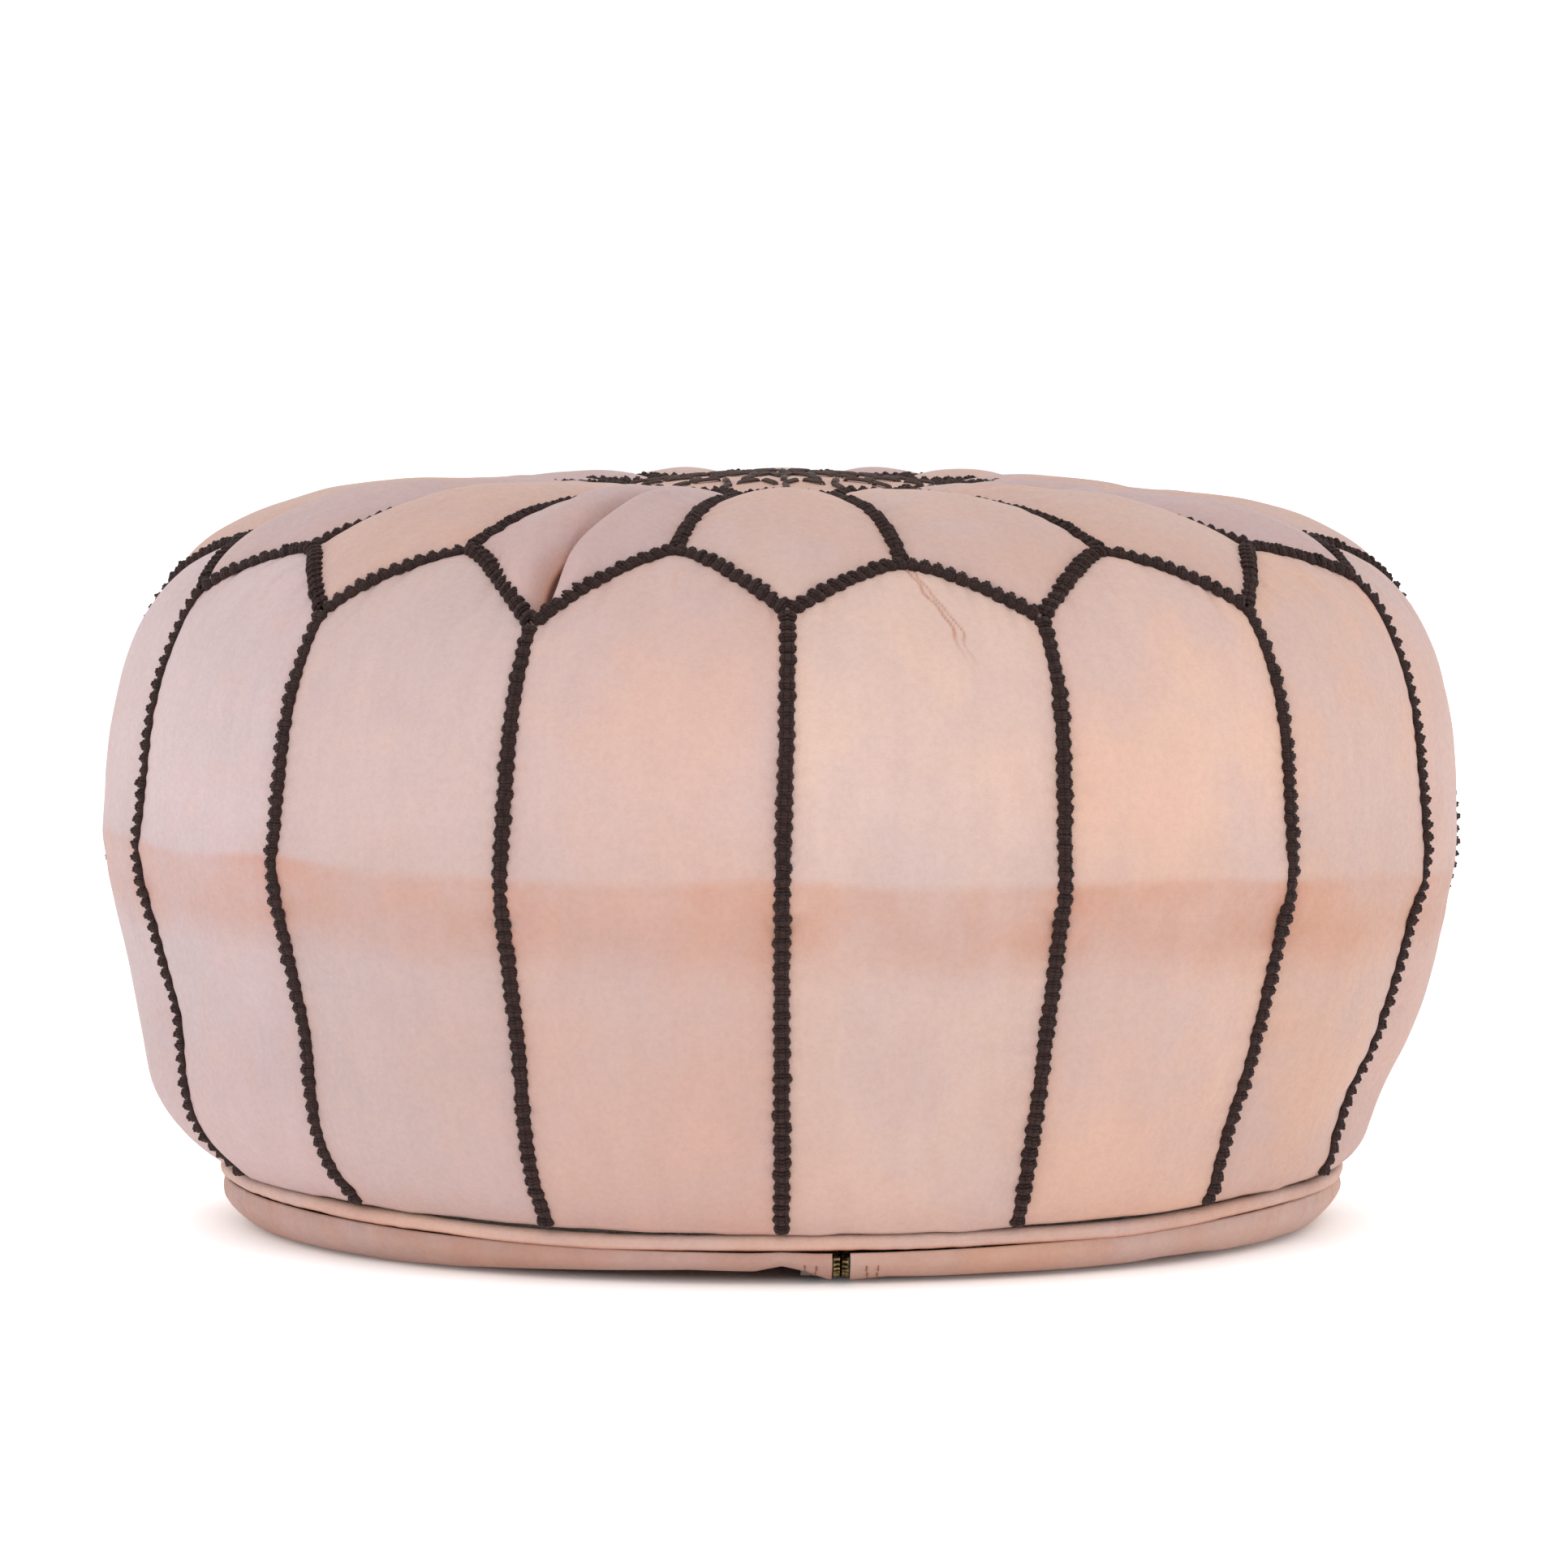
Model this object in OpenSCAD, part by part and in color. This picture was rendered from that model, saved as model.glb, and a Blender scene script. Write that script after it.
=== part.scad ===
// Round stuffed leather pouf: arched side panels, petal-shaped top panels, laced braid seams,
// an embroidered centre medallion, and a two-part base that closes with a zip.
// Millimetres. +Z is up, the base stands on z = 0, and the front faces -Y.

/* [Body] */
// Diameter at the widest level
body_d = 540; // [500:10:600]
// Height of the leather at the middle of the top
body_h = 302; // [280:2:330]
// Height of the widest level, where the sides fold
fold_z = 155; // [140:5:170]
// Squareness of the shoulder: 2 is an ellipse, more is boxier
shoulder_power = 3.4; // [2.6:0.1:4]
// Height of the lower edge of the side panels
side_edge_z = 25; // [24:1:28]

/* [Panels] */
// Number of side panels, and of petals on the top
panel_count = 16; // [12:2:18]
// Thickness of the leather
leather_t = 1.2; // [1:0.1:1.6]
// Gap between neighbouring panels, hidden under the braid
seam_gap = 0.8; // [0.6:0.1:1.2]

/* [Braid] */
// Width of the laced braid
braid_w = 6.4; // [5:0.2:7]
// Height of the braid above the seam
braid_h = 3.5; // [3:0.1:4]

/* [Base] */
// Diameter of the welt round the base, outside
welt_d = 454; // [440:2:460]
// Thickness of the welt
welt_t = 8; // [7:0.5:9]
// Distance of the zip from the middle of the base
zip_x = 22; // [0:2:40]
// Depth of the hollow that the zip lies in
groove_depth = 5.7; // [5.5:0.1:7]

/* [Zip] */
// Distance from one tooth to the next
tooth_pitch = 3; // [2.8:0.1:3.4]
// Travel of the slider
slider_travel = 320; // [200:5:320]
// Length of the pull tab
pull_length = 24; // [18:1:24]

/* [Hidden] */
body_r = body_d / 2;
step = 360 / panel_count;

// Places along the body's profile. From -40 to 0 is the side, from the base seam up to the
// widest level. From 0 to 90 is the shoulder and top, as an angle seen from the axis.
BASE_SEAM = -40;
VALLEY = 38;
ARCH_TOP = 46;
RING_OUT = 70;
RING_IN = 75.5;
CENTRE = 90;

// How far the seams lie below the padded surface, at places along the profile
DIPS = [
    [-40, 2], [-20, 3], [0, 3], [25, 4], [VALLEY, 6.5], [ARCH_TOP, 7], [60, 5], [RING_OUT, 3.5], [90, 2]
];

// The sides slope in by a steady taper, and then round in to the base seam
SIDE_TAPER = 25;
SIDE_ROUND = 17;

// The base: flat inside this radius, and rounded up to the welt outside it
BASE_ROUND_W = 15;
BASE_ROUND_H = 15.5;
welt_r = welt_d / 2 - welt_t / 2;
welt_z = BASE_ROUND_H + welt_t / 2 + 0.3;
base_edge_r = welt_r;
base_flat_r = base_edge_r - BASE_ROUND_W;
ZIP_LIFT = 0.8;
GROOVE_HALF_W = 40;
GROOVE_END = 185;
GROOVE_FADE = 20;
LIP = 6.5;
LIP_AT_ENDS = 4;

// Rows of thread through the leather and the tapes, as distances from the chain
STITCH_ROWS = [-13.6, -9.6, 9.6, 13.6];

// The zip's layers, as heights above the outer face of the leather beside it
chain_up = 1.9;
TAPE_T = 0.6;
TAPE_W = 12.6;
TAPE_IN = 2.4;
TOOTH_T = 2.3;
TOOTH_L = 1.3;
TOOTH_IN = 0.45;
TOOTH_OUT = 3.8;
TOOTH_NECK = 2.2;
TOOTH_SLOT = 0.8;
function flat_y(x) = sqrt(pow(base_flat_r, 2) - pow(x, 2));
zip_flat_y = flat_y(zip_x);
ZIP_TURN = 78;
zip_half = zip_flat_y + BASE_ROUND_W * ZIP_TURN * PI / 180;
chain_z = ZIP_LIFT + groove_depth + chain_up;
slider_y = slider_travel / 2;

SLIDER_L = 13;
PLATE_T = 1.2;
CHAIN_ROOM = 1.55;
slider_half_h = CHAIN_ROOM + PLATE_T;
SLIDER_HALF_W = 4.6;
CROWN_W = 2;
CROWN_L = 6.6;
CROWN_ROOM = 1.8;
CROWN_T = 0.9;
PULL_BAR_R = 0.5;
PULL_T = 1;
PULL_W = 8;
pull_z = chain_z - slider_half_h - CROWN_ROOM / 2;

// Clear space round the stuffing, and over the zip
STUFFING_GAP = 0.8;
ZIP_HEADROOM = 0.8;

function two_digits(n) = str(n < 10 ? "0" : "", n);

$fn = 96;

// ---- small helpers ----

function flatten(lists) = [for (list = lists) for (item = list) item];
function mix(a, b, t) = a + (b - a) * t;
function smooth(t) = let (c = min(1, max(0, t))) c * c * (3 - 2 * c);

// Two triangles for the quad a b c d, seen clockwise from outside
function quad(a, b, c, d) = [[a, b, c], [a, c, d]];

// Faces of a slab made of an outer and an inner grid of rows by cols points
function slab_faces(rows, cols) =
    let (n = rows * cols, at = function (i, j) i * cols + j)
    concat(
        flatten([for (i = [0:rows - 2], j = [0:cols - 2])
            quad(at(i, j), at(i + 1, j), at(i + 1, j + 1), at(i, j + 1))]),
        flatten([for (i = [0:rows - 2], j = [0:cols - 2])
            quad(n + at(i, j), n + at(i, j + 1), n + at(i + 1, j + 1), n + at(i + 1, j))]),
        flatten([for (i = [0:rows - 2])
            concat(
                quad(at(i, 0), n + at(i, 0), n + at(i + 1, 0), at(i + 1, 0)),
                quad(at(i, cols - 1), at(i + 1, cols - 1), n + at(i + 1, cols - 1), n + at(i, cols - 1))
            )]),
        flatten([for (j = [0:cols - 2])
            concat(
                quad(at(0, j), at(0, j + 1), n + at(0, j + 1), n + at(0, j)),
                quad(at(rows - 1, j), n + at(rows - 1, j), n + at(rows - 1, j + 1), at(rows - 1, j + 1))
            )])
    );

module slab(outer, inner) {
    points = concat(flatten(outer), flatten(inner));
    polyhedron(points = points, faces = slab_faces(len(outer), len(outer[0])));
}

// ---- the stuffed shape ----

function polar(angle, p) = [p[0] * sin(angle), -p[0] * cos(angle), p[1]];

// Radius and height of the padded surface at a place along the profile
function side_point(u) = [
    body_r - SIDE_TAPER * u - SIDE_ROUND * pow(u, 5),
    mix(fold_z, side_edge_z, u)
];
function top_point(q) =
    let (c = max(0, cos(q)), s = sin(q), n = shoulder_power, k = pow(pow(c, n) + pow(s, n), -1 / n))
    [body_r * k * c, fold_z + (body_h - fold_z) * k * s];
function profile(q) = q < 0 ? side_point(q / BASE_SEAM) : top_point(q);

// Outward direction in the profile's plane
function outward(q) =
    let (a = profile(q - 0.2), b = profile(min(CENTRE, q + 0.2)), d = (b - a) / norm(b - a))
    [d[1], -d[0]];

function dip(q) = lookup(q, DIPS);

// A point at an angle round the axis, lift above the padded surface
function on_body(angle, q, lift) = polar(angle, profile(q) + lift * outward(q));
function normal_at(angle, q) = polar(angle, outward(q));

// Half the width of a panel, as an angle, less the seam gap
function half_panel(q) = step / 2 - asin(seam_gap / 2 / profile(q)[0]);

// The arched seam at across, from -1 and 1 at the valleys to 0 at the arch's top
function arch_q(across) = ARCH_TOP - (ARCH_TOP - VALLEY) * pow(abs(across), 1.5);
// The seam round the medallion at across, from -1 and 1 at the points to 0 between them
function ring_q(across) = mix(RING_IN, RING_OUT, across * across);

// Depth below the padded surface: 0 in the middle of a panel, and dip at its seams
function sink(q, across, near_end) = -dip(q) * (1 - (1 - across * across) * (1 - near_end));

EDGE = seam_gap / 2 / 4;
SIDE_COLS = 8;
side_places = [BASE_SEAM, -35, -28, -14, 0];
SHOULDER_ROWS = 6;

module side_panel(index) {
    middle = (index - 0.5) * step;
    grid = function (depth) [
        for (i = [0:len(side_places) + SHOULDER_ROWS - 1]) [
            for (j = [0:SIDE_COLS])
            let (
                across = 2 * j / SIDE_COLS - 1,
                up = max(0, i - len(side_places) + 1) / SHOULDER_ROWS,
                q = up == 0 ? side_places[i] : up * (arch_q(across) - EDGE)
            )
            on_body(middle + across * half_panel(q), q, sink(q, across, pow(up, 4)) - depth)
        ]
    ];
    color("#dfbda6") slab(grid(0), grid(leather_t));
}

PETAL_ROWS = 6;
PETAL_COLS = 8;

module top_petal(index) {
    middle = (index - 1) * step;
    grid = function (depth) [
        for (i = [0:PETAL_ROWS]) [
            for (j = [0:PETAL_COLS])
            let (
                across = 2 * j / PETAL_COLS - 1,
                t = i / PETAL_ROWS,
                q = mix(arch_q(1 - abs(across)) + EDGE, ring_q(across) - EDGE, t)
            )
            let (near_end = max(pow(t, 4), pow(1 - t, 4)))
            on_body(middle + across * half_panel(q), q, sink(q, across, near_end) - depth)
        ]
    ];
    color("#dcb7a0") slab(grid(0), grid(leather_t));
}

MEDALLION_ROWS = 2;
MEDALLION_COLS = PETAL_COLS;
medallion_points = panel_count * MEDALLION_COLS;

// The medallion's face: rings of points from the scalloped edge in to the middle
function medallion_face(depth) = concat(
    flatten([for (i = [0:MEDALLION_ROWS - 1]) [
        for (k = [0:medallion_points - 1])
        let (
            across = 2 * (k % MEDALLION_COLS) / MEDALLION_COLS - 1,
            q = mix(ring_q(across) + EDGE, CENTRE, i / MEDALLION_ROWS)
        )
        on_body((k / MEDALLION_COLS - 0.5) * step, q, -dip(q) - depth)
    ]]),
    [[0, 0, body_h - dip(CENTRE) - depth]]
);

module centre_medallion() {
    n = medallion_points;
    size = MEDALLION_ROWS * n + 1;
    next = function (k) (k + 1) % n;
    faces = flatten([for (k = [0:n - 1]) concat(
        flatten([for (i = [0:MEDALLION_ROWS - 2]) concat(
            quad(i * n + k, (i + 1) * n + k, (i + 1) * n + next(k), i * n + next(k)),
            quad(size + i * n + k, size + i * n + next(k), size + (i + 1) * n + next(k), size + (i + 1) * n + k)
        )]),
        [[(MEDALLION_ROWS - 1) * n + k, size - 1, (MEDALLION_ROWS - 1) * n + next(k)]],
        [[size + (MEDALLION_ROWS - 1) * n + k, size + (MEDALLION_ROWS - 1) * n + next(k), 2 * size - 1]],
        quad(k, next(k), size + next(k), size + k)
    )]);
    points = concat(medallion_face(0), medallion_face(leather_t));
    color("#e2c3ad") polyhedron(points = points, faces = faces);
}

// ---- braids ----

BRAID_SIDES = 6;
BRAID_CLEARANCE = 0.9;

// The braid's section, as [sideways, height above the seam]
half_braid = braid_w / 2;
braid_mid = (braid_h + BRAID_CLEARANCE) / 2;
BRAID_SECTION = [
    [-half_braid * 0.6, BRAID_CLEARANCE], [half_braid * 0.6, BRAID_CLEARANCE], [half_braid, braid_mid],
    [half_braid * 0.6, braid_h], [-half_braid * 0.6, braid_h], [-half_braid, braid_mid]
];

// A seam is a list of [angle, place along the profile]
function seam_points(seam) = [for (s = seam) on_body(s[0], s[1], -dip(s[1]))];
function seam_normals(seam) = [for (s = seam) normal_at(s[0], s[1])];

// Rings of points along a seam. A closed seam joins its last point to its first.
function braid_rings(seam, closed) =
    let (points = seam_points(seam), normals = seam_normals(seam), n = len(seam))
    [for (i = [0:n - 1])
        let (
            before = closed ? points[(i + n - 1) % n] : points[max(0, i - 1)],
            after = closed ? points[(i + 1) % n] : points[min(n - 1, i + 1)],
            side = cross(after - before, normals[i])
        )
        for (s = BRAID_SECTION) points[i] + side / norm(side) * s[0] + normals[i] * s[1]];

function braid_faces(n, closed, first) = concat(
    flatten([for (i = [0:closed ? n - 1 : n - 2], j = [0:BRAID_SIDES - 1])
        let (a = first + i * BRAID_SIDES, b = first + (i + 1) % n * BRAID_SIDES, k = (j + 1) % BRAID_SIDES)
        quad(a + j, b + j, b + k, a + k)]),
    closed ? [] : [
        for (j = [1:BRAID_SIDES - 2]) [first, first + j, first + j + 1],
        for (j = [1:BRAID_SIDES - 2])
            let (e = first + (n - 1) * BRAID_SIDES)
            [e, e + j + 1, e + j]
    ]
);

// One solid for each seam in the list. The seams have the same number of points.
module braids(seams, closed = false) {
    n = len(seams[0]);
    color("#3a2723")
    polyhedron(
        points = flatten([for (seam = seams) braid_rings(seam, closed)]),
        faces = flatten([for (k = [0:len(seams) - 1]) braid_faces(n, closed, k * n * BRAID_SIDES)])
    );
}

// Distances along the profile, in its own degrees, that leave room for the crossing braid
END_ROOM = 1.3;
RING_ROOM = 0.9;

module side_seam_braids() {
    shoulder = [for (i = [1:SHOULDER_ROWS]) i / SHOULDER_ROWS * (VALLEY - END_ROOM)];
    places = concat([-39], [for (i = [1:4]) side_places[i]], shoulder);
    braids([for (k = [0:panel_count - 1]) [for (q = places) [k * step, q]]]);
}

module arch_braid() {
    braids([[for (k = [0:panel_count * SIDE_COLS - 1])
        [k / SIDE_COLS * step, arch_q(2 * (k % SIDE_COLS) / SIDE_COLS - 1)]]], closed = true);
}

module top_seam_braids() {
    braids([for (k = [0:panel_count - 1])
        [for (i = [0:5]) [(k + 0.5) * step, mix(ARCH_TOP + END_ROOM, RING_OUT - RING_ROOM, i / 5)]]]);
}

module centre_ring_braid() {
    n = PETAL_COLS;
    line = [for (k = [0:panel_count * n - 1]) [(k / n - 0.5) * step, ring_q(2 * (k % n) / n - 1)]];
    braids([line], closed = true);
}

// ---- medallion embroidery ----

STITCH_W = 2.4;
STITCH_T = 1.4;
STITCH_UP = 0.25;

// One thread stitch lying on the medallion, turned from the radial direction
module stitch(angle, radius, length, turn) {
    rotate([0, 0, angle])
    translate([0, -radius, medallion_z(radius) + STITCH_UP])
    rotate([0, 0, turn])
    translate([-STITCH_W / 2, -length / 2, 0])
    cube([STITCH_W, length, STITCH_T]);
}

// Height of the medallion's face at a radius, where a degree of the profile is nearly 5 mm
DEGREES_PER_MM = 0.21;
function medallion_z(radius) = let (q = CENTRE - DEGREES_PER_MM * radius) top_point(q)[1] - dip(q);

// Where the first stitch of a ring is, in stitches, so that slanted pairs cross
function first_stitch(turn) = turn > 0 ? 0.25 : turn < 0 ? 0.75 : 0;

// Rings of the rosette: radius, number of stitches for each petal, length, turn
ROSETTE = [
    [8, 0.5, 9, 0], [16, 0.5, 7, 90], [25, 1, 12, 20], [25, 1, 12, -20],
    [37, 1, 10, 0], [46, 1, 11, 35], [46, 1, 11, -35], [57, 1, 9, 0]
];

module medallion_embroidery() {
    color("#3a2723")
    for (ring = ROSETTE, k = [0:ring[1] * panel_count - 1])
        stitch((k + first_stitch(ring[3])) * step / ring[1], ring[0], ring[2], ring[3]);
}

// ---- base ----

module base_welt() {
    color("#d3a78c")
    rotate_extrude()
    translate([welt_r, welt_z])
    difference() {
        circle(d = welt_t);
        circle(d = welt_t - 2 * leather_t);
    }
}

module base_welt_cord() {
    color("#c9b08a")
    rotate_extrude()
    translate([welt_r, welt_z])
    circle(d = welt_t - 2 * leather_t - 0.4);
}

// How deep the zip's hollow is along the zip, and across it
function hollow_along(y) = groove_depth * (1 - smooth((abs(y) - GROOVE_END) / GROOVE_FADE));
function lip(y) = mix(LIP, LIP_AT_ENDS, smooth((abs(y) - GROOVE_END) / GROOVE_FADE));
function hollow(x, y) =
    let (d = (abs(x - zip_x) - LIP) / (GROOVE_HALF_W - LIP))
    (hollow_along(y) + ZIP_LIFT) * (1 - smooth(d));

// Height of the base's outer face over the rounded edge, at an angle from 0 to 90 round it
function round_z(turn) = BASE_ROUND_H * (1 - cos(turn));

BASE_TURNS = [90, 72, 54, 36, 18, 0];

// The rounded rim and the zip's hollow run into each other smoothly
function base_height(up, h) = pow(pow(up, 4) + pow(h, 4), 1 / 4);

// Rows of points across the flat of the base: a few evenly out to the rim, and then at these
// distances from the lip, closer together where the leather bends and at the stitching
OUTER_ROWS = 3;
LIP_ROWS = [30, 18, STITCH_ROWS[3] - LIP, STITCH_ROWS[2] - LIP, 0];

// Columns of points: where they meet the rim, as distances in front of the middle
FRONT_COLS = [205, 200, 195, 190, 185, 172, 155, 133, 108, 80, 50, 25];
BASE_COLS = concat(FRONT_COLS, [0], [for (i = [len(FRONT_COLS) - 1:-1:0]) -FRONT_COLS[i]]);

// The left panel reaches past the middle of the front and back, so it has more at each end,
// given as angles
LEFT_END_COLS = [3.4, 2.3, 0, -5];

function base_angles(side, first) = concat(
    [first],
    side < 0 ? LEFT_END_COLS : [],
    [for (y = BASE_COLS) side * acos(y / base_flat_r)],
    side < 0 ? [for (i = [len(LEFT_END_COLS) - 1:-1:0]) -180 - LEFT_END_COLS[i]] : [],
    [side * 180 - first]
);

// Distance from the lip of each row across the flat, where the panel is w wide
function lip_distances(w) =
    let (near = function (d) min(d, w * d / GROOVE_HALF_W), first = near(LIP_ROWS[0]))
    concat([for (i = [1:OUTER_ROWS - 1]) mix(w, first, i / OUTER_ROWS)], [for (d = LIP_ROWS) near(d)]);

// The base's face for the side -1 or 1 of the zip. Row 0 is the outer edge, and the last row
// is the lip along the zip.
function base_face(side, depth) = [
    for (i = [0:len(BASE_TURNS) + OUTER_ROWS + len(LIP_ROWS) - 2])
    let (
        turn = i < len(BASE_TURNS) ? BASE_TURNS[i] : 0,
        r = base_flat_r + (BASE_ROUND_W - depth) * sin(turn),
        first = asin((zip_x + side * LIP_AT_ENDS) / r),
        lip_end_y = r * cos(first),
        inward = function (i) (i - len(BASE_TURNS) + 1) / (OUTER_ROWS + len(LIP_ROWS) - 1),
        up = max(round_z(turn) * (1 - depth / BASE_ROUND_H), 0)
    )
    [
        for (angle = base_angles(side, first))
        let (
            rim = polar(angle, [r, 0]),
            furthest = i < len(BASE_TURNS) ? r : mix(base_flat_r, lip_end_y, inward(i)),
            y = sign(rim[1]) * min(abs(rim[1]), furthest),
            lip_x = zip_x + side * lip(y),
            distances = lip_distances(abs(rim[0] - lip_x)),
            x = i < len(BASE_TURNS) ? rim[0] : lip_x + side * distances[i - len(BASE_TURNS)]
        )
        [x, y, base_height(up, hollow(x, y)) + depth]
    ]
];

module base_panel(side) {
    color("#cf9f83") slab(base_face(side, 0), base_face(side, leather_t));
}

// ---- zip ----

// How far in from its path over the rim the chain lies, so that its tape clears the leather beside
// it, which curves away there
RIM_PULL = 0.7;
function rim_pull(turn) = RIM_PULL * smooth(turn / 60) * sin(turn);

// The chain's slope over the rim, where it turns up by an angle
function rim_slope(turn) = atan2(
    (BASE_ROUND_H - chain_up) * sin(turn),
    (BASE_ROUND_W - chain_up) * cos(turn) - (rim_pull(turn + 1) - rim_pull(turn - 1)) / 2 * 180 / PI
);

// The chain's path in the plane of the zip: [y, height, slope]. It runs flat along the base,
// and turns up round the edge at both ends.
function chain_point(s) =
    let (
        over = max(0, abs(s) - zip_flat_y),
        turn = over / BASE_ROUND_W * 180 / PI,
        y = min(abs(s), zip_flat_y) + (BASE_ROUND_W - chain_up) * sin(turn) - rim_pull(turn),
        up = hollow_along(y) + ZIP_LIFT,
        slope = rim_slope(turn) + atan((hollow_along(y + 1) - hollow_along(y - 1)) / 2)
    )
    [sign(s) * y, up + chain_up + round_z(turn) * (1 - chain_up / BASE_ROUND_H), sign(s) * slope];

module on_chain(s) {
    p = chain_point(s);
    translate([zip_x, p[0], p[1]])
    rotate([p[2], 0, 0])
    children();
}

module zip_teeth(side) {
    count = floor((zip_half - 2) / tooth_pitch);
    color("#9b8a5c")
    for (k = [-count:count])
        on_chain((k + side / 4) * tooth_pitch)
        translate([0, TOOTH_L / 2, 0])
        rotate([90, 0, 0])
        linear_extrude(TOOTH_L)
        scale([side, 1])
        polygon([
            [TOOTH_IN, -TOOTH_T / 2], [TOOTH_OUT, -TOOTH_T / 2], [TOOTH_OUT, -TOOTH_SLOT / 2],
            [TOOTH_NECK, -TOOTH_SLOT / 2], [TOOTH_NECK, TOOTH_SLOT / 2], [TOOTH_OUT, TOOTH_SLOT / 2],
            [TOOTH_OUT, TOOTH_T / 2], [TOOTH_IN, TOOTH_T / 2]
        ]);
}

// Distances along the chain where the tape bends: round the edge, through the fade, and straight
TAPE_BENDS = concat(
    [for (turn = [ZIP_TURN - 1:-7:0]) zip_flat_y + BASE_ROUND_W * turn * PI / 180],
    [for (t = [1:-0.125:0]) GROOVE_END + t * (GROOVE_FADE - 1)],
    [90]
);
TAPE_PLACES = concat([for (s = TAPE_BENDS) -s], [0], [for (i = [len(TAPE_BENDS) - 1:-1:0]) TAPE_BENDS[i]]);

// How far the tape's outer edge moves at its ends, to follow the rim
function tape_shift(x, s) =
    let (out = flat_y(zip_x + x) - zip_flat_y)
    sign(s) * (abs(s) < zip_flat_y ? min(0, zip_flat_y + out - abs(s)) : out);

module zip_tape(side) {
    strip = function (up) [
        for (x = [TAPE_IN, TOOTH_OUT + 0.4, TAPE_IN + TAPE_W]) [
            for (s = TAPE_PLACES)
            let (p = chain_point(s), shift = x > TAPE_W ? tape_shift(side * x, s) : 0)
            [zip_x + side * x, p[0] - up * sin(p[2]) + shift, p[1] + up * cos(p[2])]
        ]
    ];
    color("#6f6a4a")
    if (side > 0) slab(strip(-TAPE_T / 2), strip(TAPE_T / 2));
    else slab(strip(TAPE_T / 2), strip(-TAPE_T / 2));
}

THREAD = 0.35;
THREAD_CLEARANCE = 0.35;
THREAD_L = 4;
THREAD_PITCH = 12;

module zip_stitching() {
    count = floor((zip_half - 6) / THREAD_PITCH);
    color("#7a5236")
    for (x = STITCH_ROWS, k = [-count:count])
        translate(rim_shift(x, k * THREAD_PITCH))
        on_chain(k * THREAD_PITCH)
        translate([0, 0, -chain_up - THREAD - THREAD_CLEARANCE - side_drop(x, k * THREAD_PITCH)])
        translate([x - THREAD, -THREAD_L / 2, 0])
        cube([2 * THREAD, THREAD_L, THREAD]);
}

// How far the leather's face on the rounded rim is from where the chain's path would have it: further
// out where the rim is nearer the middle of the front, and lower as the zip's lift dies out
function rim_shift(x, s) =
    let (
        turn = max(0, abs(s) - zip_flat_y) / BASE_ROUND_W * 180 / PI,
        up = round_z(turn),
        out = flat_y(zip_x + x) - zip_flat_y + rim_pull(turn)
    )
    abs(s) < zip_flat_y ? [0, 0, 0] : [0, sign(s) * out, base_height(up, ZIP_LIFT) - up - ZIP_LIFT];

// How much lower the leather's face is at a stitch row than at the lip
function side_drop(x, s) =
    let (y = chain_point(s)[0])
    hollow(zip_x + LIP, y) - hollow(zip_x + x, y);

module zip_slider() {
    outline = [
        [-0.8 * SLIDER_HALF_W, -SLIDER_L / 2], [0.8 * SLIDER_HALF_W, -SLIDER_L / 2],
        [SLIDER_HALF_W, 0], [SLIDER_HALF_W, SLIDER_L / 2 - 2], [0.75 * SLIDER_HALF_W, SLIDER_L / 2],
        [-0.75 * SLIDER_HALF_W, SLIDER_L / 2], [-SLIDER_HALF_W, SLIDER_L / 2 - 2], [-SLIDER_HALF_W, 0]
    ];
    room = TOOTH_OUT + 0.25;
    color("#b39a5e")
    translate([zip_x, slider_y, chain_z]) {
        difference() {
            translate([0, 0, -slider_half_h])
            linear_extrude(2 * slider_half_h)
            scale([1.05, 1])
            polygon(outline);
            translate([-room, -SLIDER_L, -CHAIN_ROOM]) cube([2 * room, 2 * SLIDER_L, 2 * CHAIN_ROOM]);
            translate([-2 * room, -SLIDER_L, -TAPE_T]) cube([4 * room, 2 * SLIDER_L, 2 * TAPE_T]);
        }
        translate([-0.25, SLIDER_L / 2 - 3, -slider_half_h + 0.5]) cube([0.5, 2.6, 2 * slider_half_h - 1]);
        translate([0, 0, -slider_half_h]) crown();
    }
}

// The bridge on the slider that holds the pull
module crown() {
    rotate([90, 0, 90])
    translate([0, 0, -CROWN_W / 2])
    linear_extrude(CROWN_W)
    difference() {
        translate([-CROWN_L / 2, -CROWN_ROOM - CROWN_T]) square([CROWN_L, CROWN_ROOM + CROWN_T + 0.2]);
        translate([-CROWN_L / 2 + 1.1, -CROWN_ROOM]) square([CROWN_L - 2.2, CROWN_ROOM]);
    }
}

module zip_pull() {
    arm_x = CROWN_W / 2 + 0.4;
    color("#b39a5e")
    translate([zip_x, slider_y, pull_z]) {
        rotate([0, 90, 0]) cylinder(r = PULL_BAR_R, h = 2 * arm_x + 2, center = true);
        difference() {
            translate([0, -pull_length, -PULL_T / 2])
            linear_extrude(PULL_T)
            union() {
                translate([0, PULL_W / 2]) circle(d = PULL_W);
                translate([-PULL_W / 2, PULL_W / 2]) square([PULL_W, pull_length - PULL_W / 2 - 6]);
                translate([-arm_x - 1.4, pull_length - 7]) square([2 * arm_x + 2.8, 7 + PULL_BAR_R]);
            }
            translate([-arm_x, -4.4, -PULL_T]) cube([2 * arm_x, 6, 2 * PULL_T]);
            translate([0, -pull_length + PULL_W / 2, -PULL_T]) cylinder(d = 3, h = 2 * PULL_T);
        }
    }
}

// ---- stuffing ----

stuffing_low = leather_t + STUFFING_GAP;

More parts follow.
